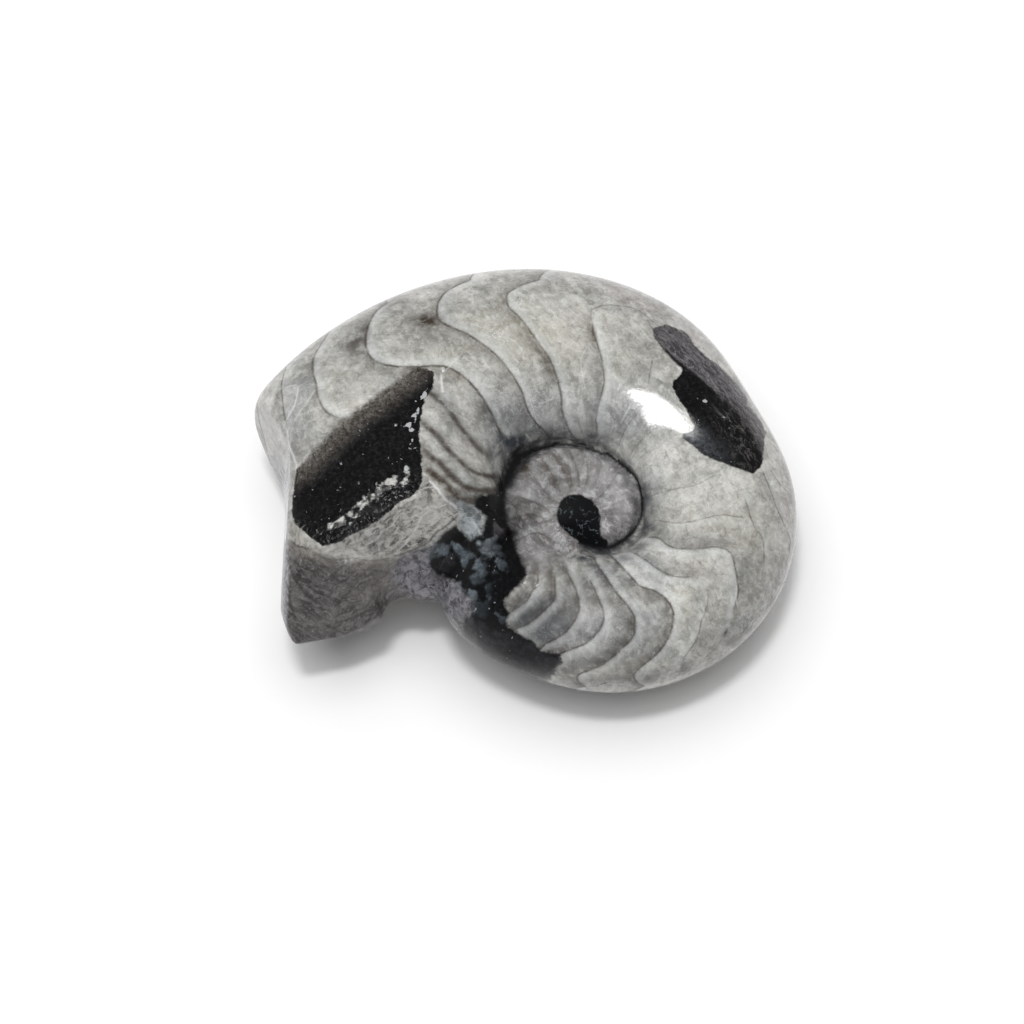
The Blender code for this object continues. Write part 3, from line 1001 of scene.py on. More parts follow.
def inside_distance(places, outline):
    """Pixels from the outline, with a plus inside it and a minus outside."""
    turns = np.array(outline, float)
    best = np.full(len(places), 1e9)
    crossings = np.zeros(len(places), bool)
    for a, b in zip(turns, np.roll(turns, -1, axis=0)):
        edge = b - a
        t = np.clip(((places - a) @ edge) / (edge @ edge), 0.0, 1.0)
        gap = np.linalg.norm(places - a - t[:, None] * edge, axis=1)
        best = np.minimum(best, gap)
        rising = (a[1] > places[:, 1]) != (b[1] > places[:, 1])
        slope = (b[0] - a[0]) / (b[1] - a[1] if b[1] != a[1] else 1e-9)
        crossings ^= rising & (places[:, 0] < a[0] + slope * (places[:, 1] - a[1]))
    return np.where(crossings, best, -best)


def both_views(measure, hidden_value=None):
    """Measures in the camera's view, and on the hidden flank in its mirror image."""
    seen = measure(direct_view)
    hidden = measure(mirror_view) if hidden_value is None else np.full(len(points), hidden_value)
    return seen * shown + hidden * (1.0 - shown)


def patch(name, outline, on_hidden=True):
    hidden_value = None if on_hidden else FAR_OUTSIDE
    pixels = both_views(lambda places: inside_distance(places, outline), hidden_value)
    store(name, "POINT", np.clip(pixels * PIXEL / MM, -PATCH_LIMIT, PATCH_LIMIT))


def in_ellipse(places, x, y, long_radius, short_radius, turn):
    """How far along both axes of an ellipse each place lies, with one at the ellipse's edge."""
    c, s = math.cos(math.radians(turn)), math.sin(math.radians(turn))
    right, down = places[:, 0] - x, places[:, 1] - y
    return (right * c + down * s) / long_radius, (down * c - right * s) / short_radius


def spots_field(places, spots):
    """The sum of soft spots: each has a place, two radii, a turn in degrees and a strength."""
    total = np.zeros(len(places))
    for *ellipse, strength in spots:
        along, across = in_ellipse(places, *ellipse)
        total += strength * np.exp(-(along ** 2 + across ** 2))
    return total


def soft_spots(name, spots):
    store(name, "POINT", both_views(lambda places: spots_field(places, spots)))


# %% The patches
patch("diamond", (
    (435, 372), (433, 388), (425, 399), (421, 418), (419, 437), (422, 457), (423, 480),
    (417.5, 493), (402, 501), (389, 512), (372, 525.5), (352, 535), (337, 543), (322, 546.5),
    (310, 537), (295, 524), (291, 512), (293, 489), (296, 469), (304, 459), (317, 443),
    (332, 426), (351, 410.5), (370, 397), (390, 382), (405, 370), (420, 367)), on_hidden=False)
patch("diamond_fade", (
    (288, 471), (304, 461), (318, 446), (333, 429), (352, 413), (371, 399), (391, 384),
    (408, 371), (436, 334), (600, 600), (280, 600), (200, 500)), on_hidden=False)
patch("right_patch", (
    (652, 329), (658, 326), (667, 324), (676, 328), (685.5, 332), (690, 338), (695, 346),
    (705, 355), (721, 367), (733, 380), (742, 390), (748, 399.5), (747, 405.6), (756, 413),
    (762, 422.5), (766, 432), (764, 447), (763, 462), (760.5, 468), (753, 474), (744, 471),
    (733, 467), (722, 463), (710, 459), (701, 453), (692, 445), (682.5, 439), (682.5, 433),
    (690, 432), (695, 427), (690, 418), (685.5, 409), (679, 401), (675, 393), (672, 387),
    (673, 381), (681, 373.5), (682.5, 370), (676, 363), (670, 357), (661, 347.5), (655, 340),
    (653, 334)))
patch("right_lobe", (
    (645, 340), (661, 347.5), (673, 358), (685.5, 369), (698, 378), (707, 386), (715, 392),
    (722, 399.5), (731, 407), (741, 419), (748, 430), (754, 441), (760.5, 453), (768, 480),
    (800, 430), (760, 360), (700, 310), (650, 310)))
patch("matrix", (
    (480, 496), (504, 492), (508, 522), (515, 547), (527, 575), (523, 581), (511, 593),
    (504, 602), (509, 613), (507, 625), (513.5, 630), (519, 633), (530, 640), (541, 650),
    (556, 653), (562, 658), (555, 667), (543, 678), (524, 682), (504, 672), (487, 664),
    (478, 645), (474, 622), (474, 604), (462, 592), (455, 580), (440, 578), (431, 570),
    (428, 556), (434, 545), (442, 534), (456, 524), (470, 540), (482, 533), (486, 518),
    (474, 505)))
patch("lower_rock", (
    (474, 612), (486, 618), (500, 630), (516, 634), (530, 641), (542, 652), (560, 655),
    (562, 662), (550, 680), (530, 690), (500, 680), (476, 660), (462, 640), (464, 620)))
patch("mauve_rock", (
    (404, 552), (425, 545), (445, 540), (470, 545), (480, 575), (474, 600), (478, 625),
    (482, 650), (462, 645), (446, 617), (436, 607), (425, 599), (411, 595), (398, 590),
    (392, 575), (396, 560)))
patch("pale_facet", (
    (316, 549), (322, 548), (337, 544), (352, 536), (372, 526.5), (389, 513), (402, 502),
    (417.5, 494), (424, 480), (432, 480), (446, 497), (458, 509), (460, 514), (446, 527),
    (436, 534), (428, 543), (417, 549), (402, 555), (392, 558), (372, 560), (350, 561),
    (330, 556)))
patch("lobe_facet", (
    (446, 497), (460, 500), (474, 503), (482, 512), (483, 528), (478, 540), (468, 543),
    (459, 530), (462, 516)))
patch("grey_end", (
    (286, 540), (300, 546), (322, 552), (350, 558), (380, 556), (405, 553), (430, 545),
    (440, 560), (440, 590), (446, 617), (430, 640), (380, 660), (300, 690), (240, 660),
    (260, 560)))
patch("cream_wedge", (
    (286, 516), (292, 520), (300, 531), (313, 543), (324, 550), (312, 552), (298, 546),
    (286, 538)))
patch("left_strip", (
    (240, 455), (276, 455), (286, 470), (291, 480), (290, 510), (288, 540), (288.5, 570),
    (288, 600), (286, 640), (240, 650)))
patch("inner_whorl", (
    (526, 577), (514, 553), (505, 530), (499, 510), (501, 490), (506, 478), (514, 463),
    (530, 450), (552, 444), (575, 443), (594, 448), (612, 457), (628, 470), (637, 484),
    (641, 502), (640, 520), (632, 534), (618, 544), (600, 548), (580, 549), (560, 560),
    (540, 575)))
patch("plug_face", (
    (556, 514), (559, 504), (562.5, 497.5), (572, 494), (582, 495), (591.5, 500), (598, 507.5),
    (601, 518), (600, 529), (601, 536.5), (608, 541), (608, 549), (593, 546), (581, 543),
    (572, 537), (562.5, 529), (557, 521)))
patch("granule_band", (
    (408, 460), (412, 470), (409, 484), (402, 489), (392, 487), (384, 494), (376, 500),
    (366, 508), (356, 519), (345, 526), (334, 531), (326, 531), (327, 524), (340, 516),
    (350, 510), (358, 500), (369, 494), (377, 486), (388, 478), (400, 474),
    (405, 466)), on_hidden=False)
patch("brown_wedge", (
    (592, 321), (594, 324), (597, 334), (599, 343), (594, 342), (591, 331)))
# Brown stains by some sutures and cracks; the spots round the inner whorl are painted shade.
soft_spots("brown_stain_and_shade", (
    (432, 320, 12, 6, 12, 0.60), (420, 322, 17, 6, 5, 0.55), (523, 466, 6, 6, 0, 0.90),
    (408, 308, 22, 9, 10, 0.36), (420, 329, 14, 6, 15, 0.30), (397, 300, 14, 6, -20, 0.25),
    (358, 337, 11, 15, 15, 0.50), (350, 350, 8, 12, 10, 0.30), (306, 352, 12, 12, 45, 0.22),
    (433, 386, 8, 12, -20, 0.20), (482, 410, 18, 9, 50, 0.30), (520, 403, 16, 6, 65, 0.30),
    (546, 366, 12, 6, 60, 0.35), (538, 352, 12, 5, 55, 0.40), (548, 360, 10, 5, 65, 0.35),
    (532, 472, 16, 14, -40, 0.34), (562, 480, 22, 12, 0, 0.30), (516, 505, 9, 30, 0, 0.30),
    (534, 510, 14, 10, 0, 0.25), (590, 470, 14, 10, 0, 0.20), (546, 540, 12, 12, 0, 0.20),
    (506, 418, 26, 12, 40, 0.25), (593, 334, 3, 8, -15, 0.25), (688, 573, 8, 4, 10, 0.45),
    (725, 634, 5, 3, -60, 0.5), (747, 628, 10, 5, -50, 0.45), (772, 604, 10, 4, -60, 0.60),
    (732, 642, 9, 6, -30, 0.40), (687, 671, 12, 4, -20, 0.40), (646, 680, 10, 5, -15, 0.40),
    (582, 684, 10, 4, -15, 0.35), (632, 620, 5, 18, -5, 0.30), (558, 652, 8, 7, 10, 0.35),
    (588, 612, 9, 12, 10, 0.20), (560, 610, 10, 12, 20, 0.25), (535, 612, 14, 8, -30, 0.30),
    (520, 602, 10, 6, -40, 0.35), (500, 545, 6, 14, -10, 0.3), (664, 312, 24, 8, 30, 0.15),
    (640, 300, 26, 6, 22, 0.15)))
# Round the seam: partly dark stain, partly painted shade where the surface dips inwards.
soft_spots("seam_stain_and_shade", (
    (503, 436, 20, 14, 45, 0.60), (520, 440, 18, 8, -20, 0.60), (556, 434, 22, 7, 3, 0.55),
    (596, 438, 12, 7, 20, 0.75), (628, 466, 9, 7, 45, 0.60), (643, 488, 7, 16, -5, 0.70),
    (650, 505, 8, 14, 0, 0.45), (648, 528, 14, 8, 15, 0.65), (632, 545, 14, 6, 10, 0.55),
    (612, 556, 20, 7, 10, 0.60), (585, 557, 16, 9, 10, 0.50), (600, 572, 18, 8, 30, 0.30),
    (560, 562, 16, 10, 30, 0.25), (495, 455, 14, 10, 40, 0.55), (489, 478, 16, 10, 0, 0.55),
    (486, 497, 14, 7, 0, 0.60), (512, 474, 12, 9, -50, 0.50), (516, 458, 14, 7, -45, 0.55),
    (578, 553, 14, 6, 15, 0.40), (474, 500, 14, 6, 20, 0.45)))
# Partly greyer crystal, partly painted shade on the lower lobes and the bottom edge.
soft_spots("grey", (
    (545, 615, 34, 20, -35, 1.15), (520, 606, 20, 14, -40, 0.60), (592, 622, 26, 20, -30, 0.45),
    (632, 632, 26, 22, -20, 0.25), (600, 660, 60, 10, -12, 0.45), (620, 678, 60, 6, -6, 0.60),
    (418, 340, 40, 14, 0, 0.40), (560, 640, 22, 12, -30, 0.40), (638, 346, 26, 22, 0, 0.36),
    (540, 628, 20, 14, -30, 0.40), (345, 380, 24, 14, -40, 0.18), (528, 616, 12, 8, -30, 0.35),
    (697, 603, 10, 18, 8, 0.40), (365, 540, 26, 9, -20, 0.60), (450, 560, 30, 30, 0, 0.20),
    (754, 560, 14, 18, 0, 0.15), (530, 560, 20, 20, 0, 0.25), (522, 500, 18, 40, 0, 0.35),
    (660, 400, 30, 26, 0, 0.25), (510, 410, 34, 20, 35, 0.35), (590, 585, 30, 16, 25, 0.35),
    (735, 590, 16, 20, 0, 0.35), (742, 570, 10, 18, 0, 0.40), (680, 541, 16, 8, 0, 0.35),
    (706, 542, 10, 7, 0, 0.35), (726, 634, 26, 14, -35, 0.45), (560, 425, 50, 12, 0, 0.30),
    (632, 430, 24, 20, 0, 0.30), (465, 440, 24, 24, 0, 0.25), (385, 308, 12, 12, 0, 0.25),
    (345, 345, 22, 14, -40, 0.35), (300, 430, 14, 20, 0, 0.20)))
soft_spots("cool", (
    (500, 415, 30, 20, 45, 0.70), (560, 415, 55, 25, 0, 0.55), (625, 420, 26, 26, 0, 0.70),
    (655, 490, 14, 30, 0, 0.60), (640, 560, 30, 14, 25, 0.60), (610, 575, 26, 14, 30, 0.60),
    (470, 525, 16, 10, 30, 0.80), (590, 640, 34, 20, -30, 0.60), (540, 630, 28, 16, -30, 0.60),
    (650, 620, 18, 26, 10, 0.60), (296, 402, 12, 22, 20, 0.85), (308, 384, 8, 8, 0, 0.55),
    (290, 450, 10, 20, 0, 0.35), (375, 350, 14, 16, 0, 0.40), (450, 312, 12, 14, 0, 0.35),
    (450, 410, 30, 8, 50, 0.45), (445, 450, 34, 8, 45, 0.50), (455, 475, 34, 6, 40, 0.45),
    (685, 350, 24, 8, 45, 0.50), (598, 380, 6, 40, 0, 0.30)))
soft_spots("warm", (
    (505, 335, 45, 26, 20, 0.75), (560, 330, 40, 36, 0, 0.65), (430, 350, 40, 12, 5, 0.70),
    (345, 385, 26, 24, -40, 0.60), (452, 372, 22, 10, 30, 0.55), (345, 330, 24, 10, -30, 0.40),
    (630, 350, 22, 26, 0, 0.55), (700, 510, 45, 26, 0, 0.80), (690, 600, 26, 26, 0, 0.55),
    (750, 540, 26, 50, 0, 0.45), (620, 668, 45, 12, -5, 0.45), (470, 465, 20, 12, 40, 0.45),
    (590, 600, 18, 22, 0, 0.30), (410, 330, 26, 10, 10, 0.35)))
# Mostly paler crystal; the spots along the outline at top, left and right are painted sheen.
soft_spots("bright", (
    (700, 505, 40, 24, 0, 0.75), (668, 560, 26, 12, 25, 0.55), (676, 600, 14, 12, 0, 0.35),
    (272, 400, 14, 30, 0, 0.50), (776, 520, 10, 50, 0, 0.40), (428, 512, 20, 16, -35, 0.70),
    (444, 500, 10, 10, 0, 0.40), (555, 310, 30, 16, 20, 0.50), (505, 372, 30, 20, 45, 0.35),
    (400, 350, 30, 8, 0, 0.35), (640, 465, 14, 10, 0, 0.45), (660, 470, 20, 14, 0, 0.45),
    (560, 440, 30, 10, 0, 0.10), (608, 470, 14, 14, 0, 0.50), (622, 500, 12, 20, 0, 0.45),
    (540, 555, 16, 14, 0, 0.55), (530, 490, 14, 10, 0, 0.35), (538, 600, 8, 10, 0, 0.30),
    (566, 600, 7, 14, 0, 0.45), (590, 600, 7, 18, 0, 0.40), (612, 620, 10, 20, 0, 0.45),
    (645, 640, 10, 14, 0, 0.45), (553, 629, 14, 4, -30, 0.35), (528, 614, 10, 3, -30, 0.30),
    (575, 643, 14, 4, -25, 0.40), (600, 650, 14, 6, -30, 0.40), (355, 385, 20, 14, -40, 0.40),
    (330, 300, 14, 10, -40, 0.50), (480, 275, 40, 5, -10, 0.55), (300, 340, 12, 8, -50, 0.50),
    (438, 402, 22, 4, 42, 0.55), (440, 428, 24, 4, 42, 0.60), (445, 460, 24, 4, 42, 0.55),
    (470, 482, 20, 4, 25, 0.50), (470, 430, 20, 8, 45, 0.45), (465, 455, 20, 5, 42, 0.35),
    (310, 549, 22, 10, 14, 0.80), (352, 558, 34, 11, 4, 0.55), (392, 562, 28, 9, -6, 0.75),
    (378, 588, 22, 11, -22, 0.60), (330, 622, 24, 8, -12, 0.25), (296, 600, 5, 24, -14, 0.35)))
# Painted reflection: a pale violet sheen along the outline, mirroring the white table.
soft_spots("mauve", (
    (640, 300, 60, 14, 27, 0.80), (560, 280, 60, 8, 4, 0.70), (420, 290, 50, 7, -18, 0.50),
    (700, 340, 30, 12, 42, 0.90), (785, 500, 14, 60, -4, 0.90), (770, 590, 14, 34, 12, 0.80),
    (690, 680, 50, 8, -22, 0.70), (600, 690, 60, 6, 0, 0.60), (265, 440, 10, 40, 15, 0.70),
    (283, 560, 7, 90, 0, 0.90), (300, 470, 8, 30, 0, 0.60)))
soft_spots("crinkle", (
    (530, 415, 26, 22, 40, 0.90), (505, 398, 20, 16, 40, 0.60), (498, 335, 16, 10, 20, 0.80),
    (560, 395, 26, 18, 0, 0.60), (630, 400, 26, 20, 0, 0.75), (575, 400, 14, 22, 0, 0.50),
    (410, 530, 34, 18, -35, 1.00), (305, 400, 14, 24, 20, 0.80), (630, 585, 34, 22, 30, 0.60),
    (570, 640, 50, 18, -20, 0.80), (640, 650, 26, 14, 0, 0.60), (745, 625, 18, 14, -45, 0.90),
    (750, 500, 20, 14, -30, 0.55), (460, 600, 14, 24, 10, 0.80), (430, 555, 16, 10, 0, 0.50),
    (690, 360, 14, 12, 45, 0.60), (480, 360, 20, 10, 40, 0.50), (595, 480, 24, 24, 0, 0.25),
    (340, 560, 30, 12, 0, 0.50), (720, 600, 14, 20, 0, 0.50)))

soft_spots("crumbly", (
    (738, 440, 15, 30, -30, 1.10), (728, 418, 10, 16, -35, 0.60), (750, 462, 12, 10, 0, 0.70)))
# Painted sheen: a blue-grey reflection on the black of the right patch.
soft_spots("painted_sheen", (
    (706, 448, 24, 11, 25, 0.50), (694, 438, 10, 8, 0, 0.55), (700, 430, 8, 5, 45, 0.40)))
soft_spots("dull", (
    (526, 600, 60, 26, 0, 2.2), (566, 543, 32, 20, 0, 2.0), (600, 500, 52, 52, 0, 1.2),
    (520, 545, 24, 24, 0, 1.5), (667, 450, 11, 9, 30, 1.6), (365, 520, 16, 8, -33, 2.0),
    (490, 560, 26, 40, 0, 1.5), (520, 655, 40, 14, 20, 1.0)))
soft_spots("below_band", (
    (396, 495, 22, 8, -35, 1.0), (362, 522, 22, 7, -35, 1.0), (325, 537, 18, 6, 10, 1.0),
    (300, 527, 6, 6, 0, 0.8)))
# White flecks of calcite; the two low in the mouth's rock are painted glints of the lamp.
soft_spots("flecks_and_glints", (
    (411, 430, 3.5, 3.5, 0, 1.12), (408, 424, 2.4, 2.4, 0, 0.75), (416.5, 414, 3.0, 3.8, 0, 1.0),
    (395.5, 425, 2.7, 2.7, 0, 1.0), (372, 436, 2.4, 2.4, 0, 0.75), (388, 457, 3.8, 3.2, 0, 0.88),
    (397, 461, 3.0, 3.0, 0, 0.75), (295, 497, 2.2, 2.2, 0, 1.0), (423, 397, 3.2, 4.9, 30, 0.62),
    (405, 426, 2.2, 2.2, 0, 0.75), (407, 469, 3.5, 6.8, -10, 1.12), (668, 339, 2.4, 2.4, 0, 0.75),
    (674, 342, 4.1, 2.4, 45, 0.75), (686, 344, 3.2, 2.2, 30, 0.5), (678, 392, 3.2, 2.4, 0, 0.88),
    (704.6, 401, 3.2, 3.2, 0, 1.0), (714.6, 418, 2.4, 2.4, 0, 0.62), (670, 390, 2.4, 2.4, 0, 1.0),
    (708, 394, 5.4, 2.2, 40, 0.5), (696, 440, 8.1, 2.4, 30, 0.56), (726, 455, 2.4, 2.4, 0, 0.75),
    (525, 583, 2.2, 2.2, 0, 1.25), (537, 585, 1.7, 1.7, 0, 1.25), (500, 657, 3.8, 2.7, 0, 0.62),
    (508, 658, 3.5, 2.4, 20, 0.62), (541, 653, 3.0, 5.4, 20, 0.5),
    (426, 389, 4.6, 2.4, -60, 0.95), (424, 396, 3.8, 2.2, -50, 0.90),
    (419, 408, 3.2, 2.2, -60, 1.0), (416, 402, 2.6, 1.9, 20, 0.85),
    (416, 420, 3.4, 2.0, -70, 0.90), (412, 416, 2.4, 2.0, 0, 0.95),
    (410, 424, 3.0, 2.0, -50, 0.85), (403, 412, 2.2, 1.8, 0, 0.90),
    (417, 386, 2.4, 1.8, 30, 0.85), (412, 440, 3.2, 2.1, -60, 0.85)))

# %% [markdown]
# Rounded growths show in the dark rock of the mouth. Each lump is an ellipse with its own
# brightness and warmth, with painted shading as if lit from its upper left, and slow waves bend
# its edge. For every point of the skin the lump that it is deepest in is found, and its depth
# there and its two tones are stored.

# %% The lumps in the mouth's rock
LUMPS = (
    (490.5, 548, 13, 12, 0, 1.0, 0.35), (503, 564, 8, 7, 0, 0.62, 0.10),
    (482, 567, 8, 11, 15, 0.60, 0.0), (476.7, 580, 10, 8, 0, 0.24, 0.0),
    (498, 533, 9, 8, 60, 0.36, 1.0), (484, 607, 11, 10, 0, 0.16, 0.1),
    (490.5, 588, 7, 6, 0, 0.14, 0.0), (430, 556, 9, 8, -30, 0.55, 0.2),
    (443, 548, 11, 8, 0, 0.62, 0.1), (460, 550, 9, 8, 30, 0.60, 0.0),
    (449, 564, 11, 11, 0, 0.12, 0.9), (467, 558, 6, 9, 0, 0.50, 0.0),
    (474, 530, 9, 12, 20, 0.80, 0.1), (463, 518, 10, 8, 30, 0.70, 0.2),
    (446, 600, 9, 12, 20, 0.62, 0.6), (460, 588, 8, 9, 0, 0.60, 0.5),
    (462, 612, 9, 12, 20, 0.55, 0.5), (472, 597, 6, 8, 0, 0.70, 0.1),
    (424, 583, 12, 9, 20, 0.45, 0.9), (405, 566, 10, 7, 0, 0.62, 0.8),
    (437, 578, 9, 7, 0, 0.50, 0.8), (504, 642, 12, 6, 30, 0.14, 0.7),
    (530, 655, 14, 8, 25, 0.10, 0.8), (500, 619, 8, 5, 20, 0.30, 0.1),
    (487, 596, 5, 4, -40, 0.45, 0.0), (476, 616, 8, 5, 10, 0.28, 0.1),
    (493, 574, 4, 4, 0, 0.24, 0.0),
)


LUMP_WAVES = ((0.29, (1.0, 2.4), 2.6), (0.71, (0.0, 1.3), 1.5))
LIGHT_MIDDLE = 0.68
LIGHT_ALONG = 0.50
LIGHT_ACROSS = 0.25
LIGHT_RANGE = (0.1, 1.2)


def lump_fields(places):
    """The depth in the nearest lump, one at its middle and nothing at its edge, and its tones."""
    swapped = places[:, ::-1]
    waves = [np.sin(swapped * pace + phases) * height for pace, phases, height in LUMP_WAVES]
    places = places + sum(waves)
    depth = np.full(len(places), -1.0)
    lightness = np.zeros(len(places))
    warmness = np.zeros(len(places))
    for *ellipse, light, warmth in LUMPS:
        along, across = in_ellipse(places, *ellipse)
        inside = 1.0 - np.hypot(along, across)
        deeper = inside > depth
        depth[deeper] = inside[deeper]
        # Painted shading: each lump is lighter towards its upper left.
        lit = LIGHT_MIDDLE - LIGHT_ALONG * along - LIGHT_ACROSS * across
        lightness[deeper] = light * np.clip(lit, *LIGHT_RANGE)[deeper]
        warmness[deeper] = warmth
    return np.array([depth, lightness, warmness])


for name, values in zip(("lump_depth", "lump_light", "lump_warmth"), both_views(lump_fields)):
    store(name, "POINT", values)

# %% [markdown]
# Fine lines of growth run across the tube, and they lean back like the sutures. For them each
# point stores the direction in which it lies from the coil's axis, turned back a little more the
# further out it is, and its distance from the axis.

# %% The direction of growth
LEAN_BACK = 0.0113
radius = np.hypot(coil_points[:, 0], coil_points[:, 1]) / MM
turned_back = np.arctan2(coil_points[:, 1], coil_points[:, 0]) - LEAN_BACK * radius
growth = np.column_stack([np.cos(turned_back), np.sin(turned_back), radius])
layer = stone.data.attributes.new("growth", "FLOAT_VECTOR", "POINT")
layer.data.foreach_set("vector", growth.astype(np.float32).ravel())
print("fields stored", len(stone.data.attributes))

# %% [markdown]
# The finish is built from nodes. A small set of helpers keeps the wiring short: each makes one
# node, sets its numbers and links what it is given.

# %% Helpers for the finish
finish = bpy.data.materials.new("polished_fossil")
finish.use_nodes = True
nodes = finish.node_tree.nodes
links = finish.node_tree.links
surface = nodes["Principled BSDF"]


def feed(socket, value):
    """Links a socket, or sets a plain number or colour on it."""
    if isinstance(value, bpy.types.NodeSocket):
        links.new(value, socket)
    elif isinstance(value, (tuple, list)) and len(value) == 3 and socket.type == "RGBA":
        socket.default_value = (*value, 1.0)
    else:
        socket.default_value = value


def calc(operation, first, second=None, clamp=False):
    node = nodes.new("ShaderNodeMath")
    node.operation = operation
    node.use_clamp = clamp
    feed(node.inputs[0], first)
    if second is not None:
        feed(node.inputs[1], second)
    return node.outputs[0]


def times(first, second):
    return calc("MULTIPLY", first, second)


def rise(value, start, end, low=0.0, high=1.0):
    """A smooth step from low to high as the value goes from start to end."""
    node = nodes.new("ShaderNodeMapRange")
    node.interpolation_type = "SMOOTHSTEP"
    for name, given in (("Value", value), ("From Min", start), ("From Max", end),
                        ("To Min", low), ("To Max", high)):
        feed(node.inputs[name], given)
    return node.outputs["Result"]


def blend(share, first, second, way="MIX"):
    node = nodes.new("ShaderNodeMix")
    node.data_type = "RGBA"
    node.blend_type = way
    feed(node.inputs["Factor"], share)
    feed(node.inputs[6], first)
    feed(node.inputs[7], second)
    return node.outputs[2]


def stored(name, output_name="Fac"):
    node = nodes.new("ShaderNodeAttribute")
    node.attribute_name = name
    return node.outputs[output_name]


def noise(vector, scale, detail=4.0, roughness=0.55, distortion=0.0, output_name="Fac"):
    node = nodes.new("ShaderNodeTexNoise")
    feed(node.inputs["Vector"], vector)
    node.inputs["Scale"].default_value = scale
    node.inputs["Detail"].default_value = detail
    node.inputs["Roughness"].default_value = roughness
    node.inputs["Distortion"].default_value = distortion
    return node.outputs[output_name]


def cells(vector, scale, feature="F1", output_name="Distance"):
    node = nodes.new("ShaderNodeTexVoronoi")
    node.feature = feature
    feed(node.inputs["Vector"], vector)
    node.inputs["Scale"].default_value = scale
    return node.outputs[output_name]


def stretched(vector, scale, turn=(0.0, 0.0, 0.0)):
    """Coordinates that are scaled along three axes, which may be turned first."""
    node = nodes.new("ShaderNodeMapping")
    node.vector_type = "TEXTURE"
    feed(node.inputs["Vector"], vector)
    node.inputs["Scale"].default_value = [1.0 / part for part in scale]
    node.inputs["Rotation"].default_value = turn
    return node.outputs[0]


def vector_sum(first, second):
    node = nodes.new("ShaderNodeVectorMath")
    node.operation = "ADD"
    feed(node.inputs[0], first)
    feed(node.inputs[1], second)
    return node.outputs[0]


def shaken(vector, scale, reach):
    """The same coordinates, pushed about by noise, up to a reach in millimetres."""
    node = nodes.new("ShaderNodeVectorMath")
    node.operation = "MULTIPLY_ADD"
    feed(node.inputs[0], noise(vector, scale, 3.0, output_name="Color"))
    node.inputs[1].default_value = (reach, reach, reach)
    node.inputs[2].default_value = (-reach / 2.0, -reach / 2.0, -reach / 2.0)
    return vector_sum(vector, node.outputs[0])


def colour(red, green, blue):
    """A colour as a screen shows it, turned to the linear numbers that a shader takes."""
    def linear(value):
        value /= 255.0
        return value / 12.92 if value <= 0.04045 else ((value + 0.055) / 1.055) ** 2.4
    return (linear(red), linear(green), linear(blue))


def between(field, start, end, first, second):
    """Runs from one colour to another as the field rises."""
    return blend(rise(field, start, end), colour(*first), colour(*second))


def wash(tone, rows):
    """Lays thin colours over a tone, one after the other, each with its share."""
    for share, tint in rows:
        tone = blend(share, tone, colour(*tint))
    return tone


coordinates = nodes.new("ShaderNodeTexCoord").outputs["Object"]
mm = stretched(coordinates, (1000.0, 1000.0, 1000.0))
warped = shaken(mm, 0.45, 1.8)
finely_warped = shaken(warped, 1.9, 0.8)


def around_zero(field):
    """Noise runs from 0 to 1, so this takes half away."""
    return calc("SUBTRACT", field, 0.5)


def thread(scale, width, source=None):
    """Thin crooked threads, where noise passes through its middle value."""
    middle = calc("ABSOLUTE", around_zero(noise(source or finely_warped, scale, 2.0, 0.5)))
    return rise(middle, 0.0, width, 1.0, 0.0)


def ragged_edge(name, amount, start, end):
    """The share of a drawn patch, with an edge that noise makes ragged, by an amount in mm."""
    return rise(calc("ADD", stored(name), times(ragged, amount)), start, end)


# %% [markdown]
# Most of the stone is calcite: pale grey crystals that meet in soft-edged plates, warm in one
# place and cool in the next. Each plate takes its own tone from a cell pattern, fibres and grains
# make the mottling, and thin white threads stand for the small healed cracks.

# %% Calcite
ragged = around_zero(noise(mm, 1.1, 5.0, 0.65))
plate = rise(cells(finely_warped, 0.23, output_name="Color"), 0.25, 0.75)
small_plate = rise(cells(finely_warped, 0.62, output_name="Color"), 0.25, 0.75)
clouds = noise(mm, 0.30, 4.0, 0.6)
wide_clouds = noise(mm, 0.13, 3.0, 0.5)
fibre_space = stretched(finely_warped, (0.6, 1.9, 1.2), (0.0, 0.0, math.radians(-58)))
fibres = noise(fibre_space, 0.8, 4.0, 0.60)
blotches = noise(finely_warped, 0.75, 5.0, 0.62, 0.5)
grains = noise(finely_warped, 1.9, 5.0, 0.68)

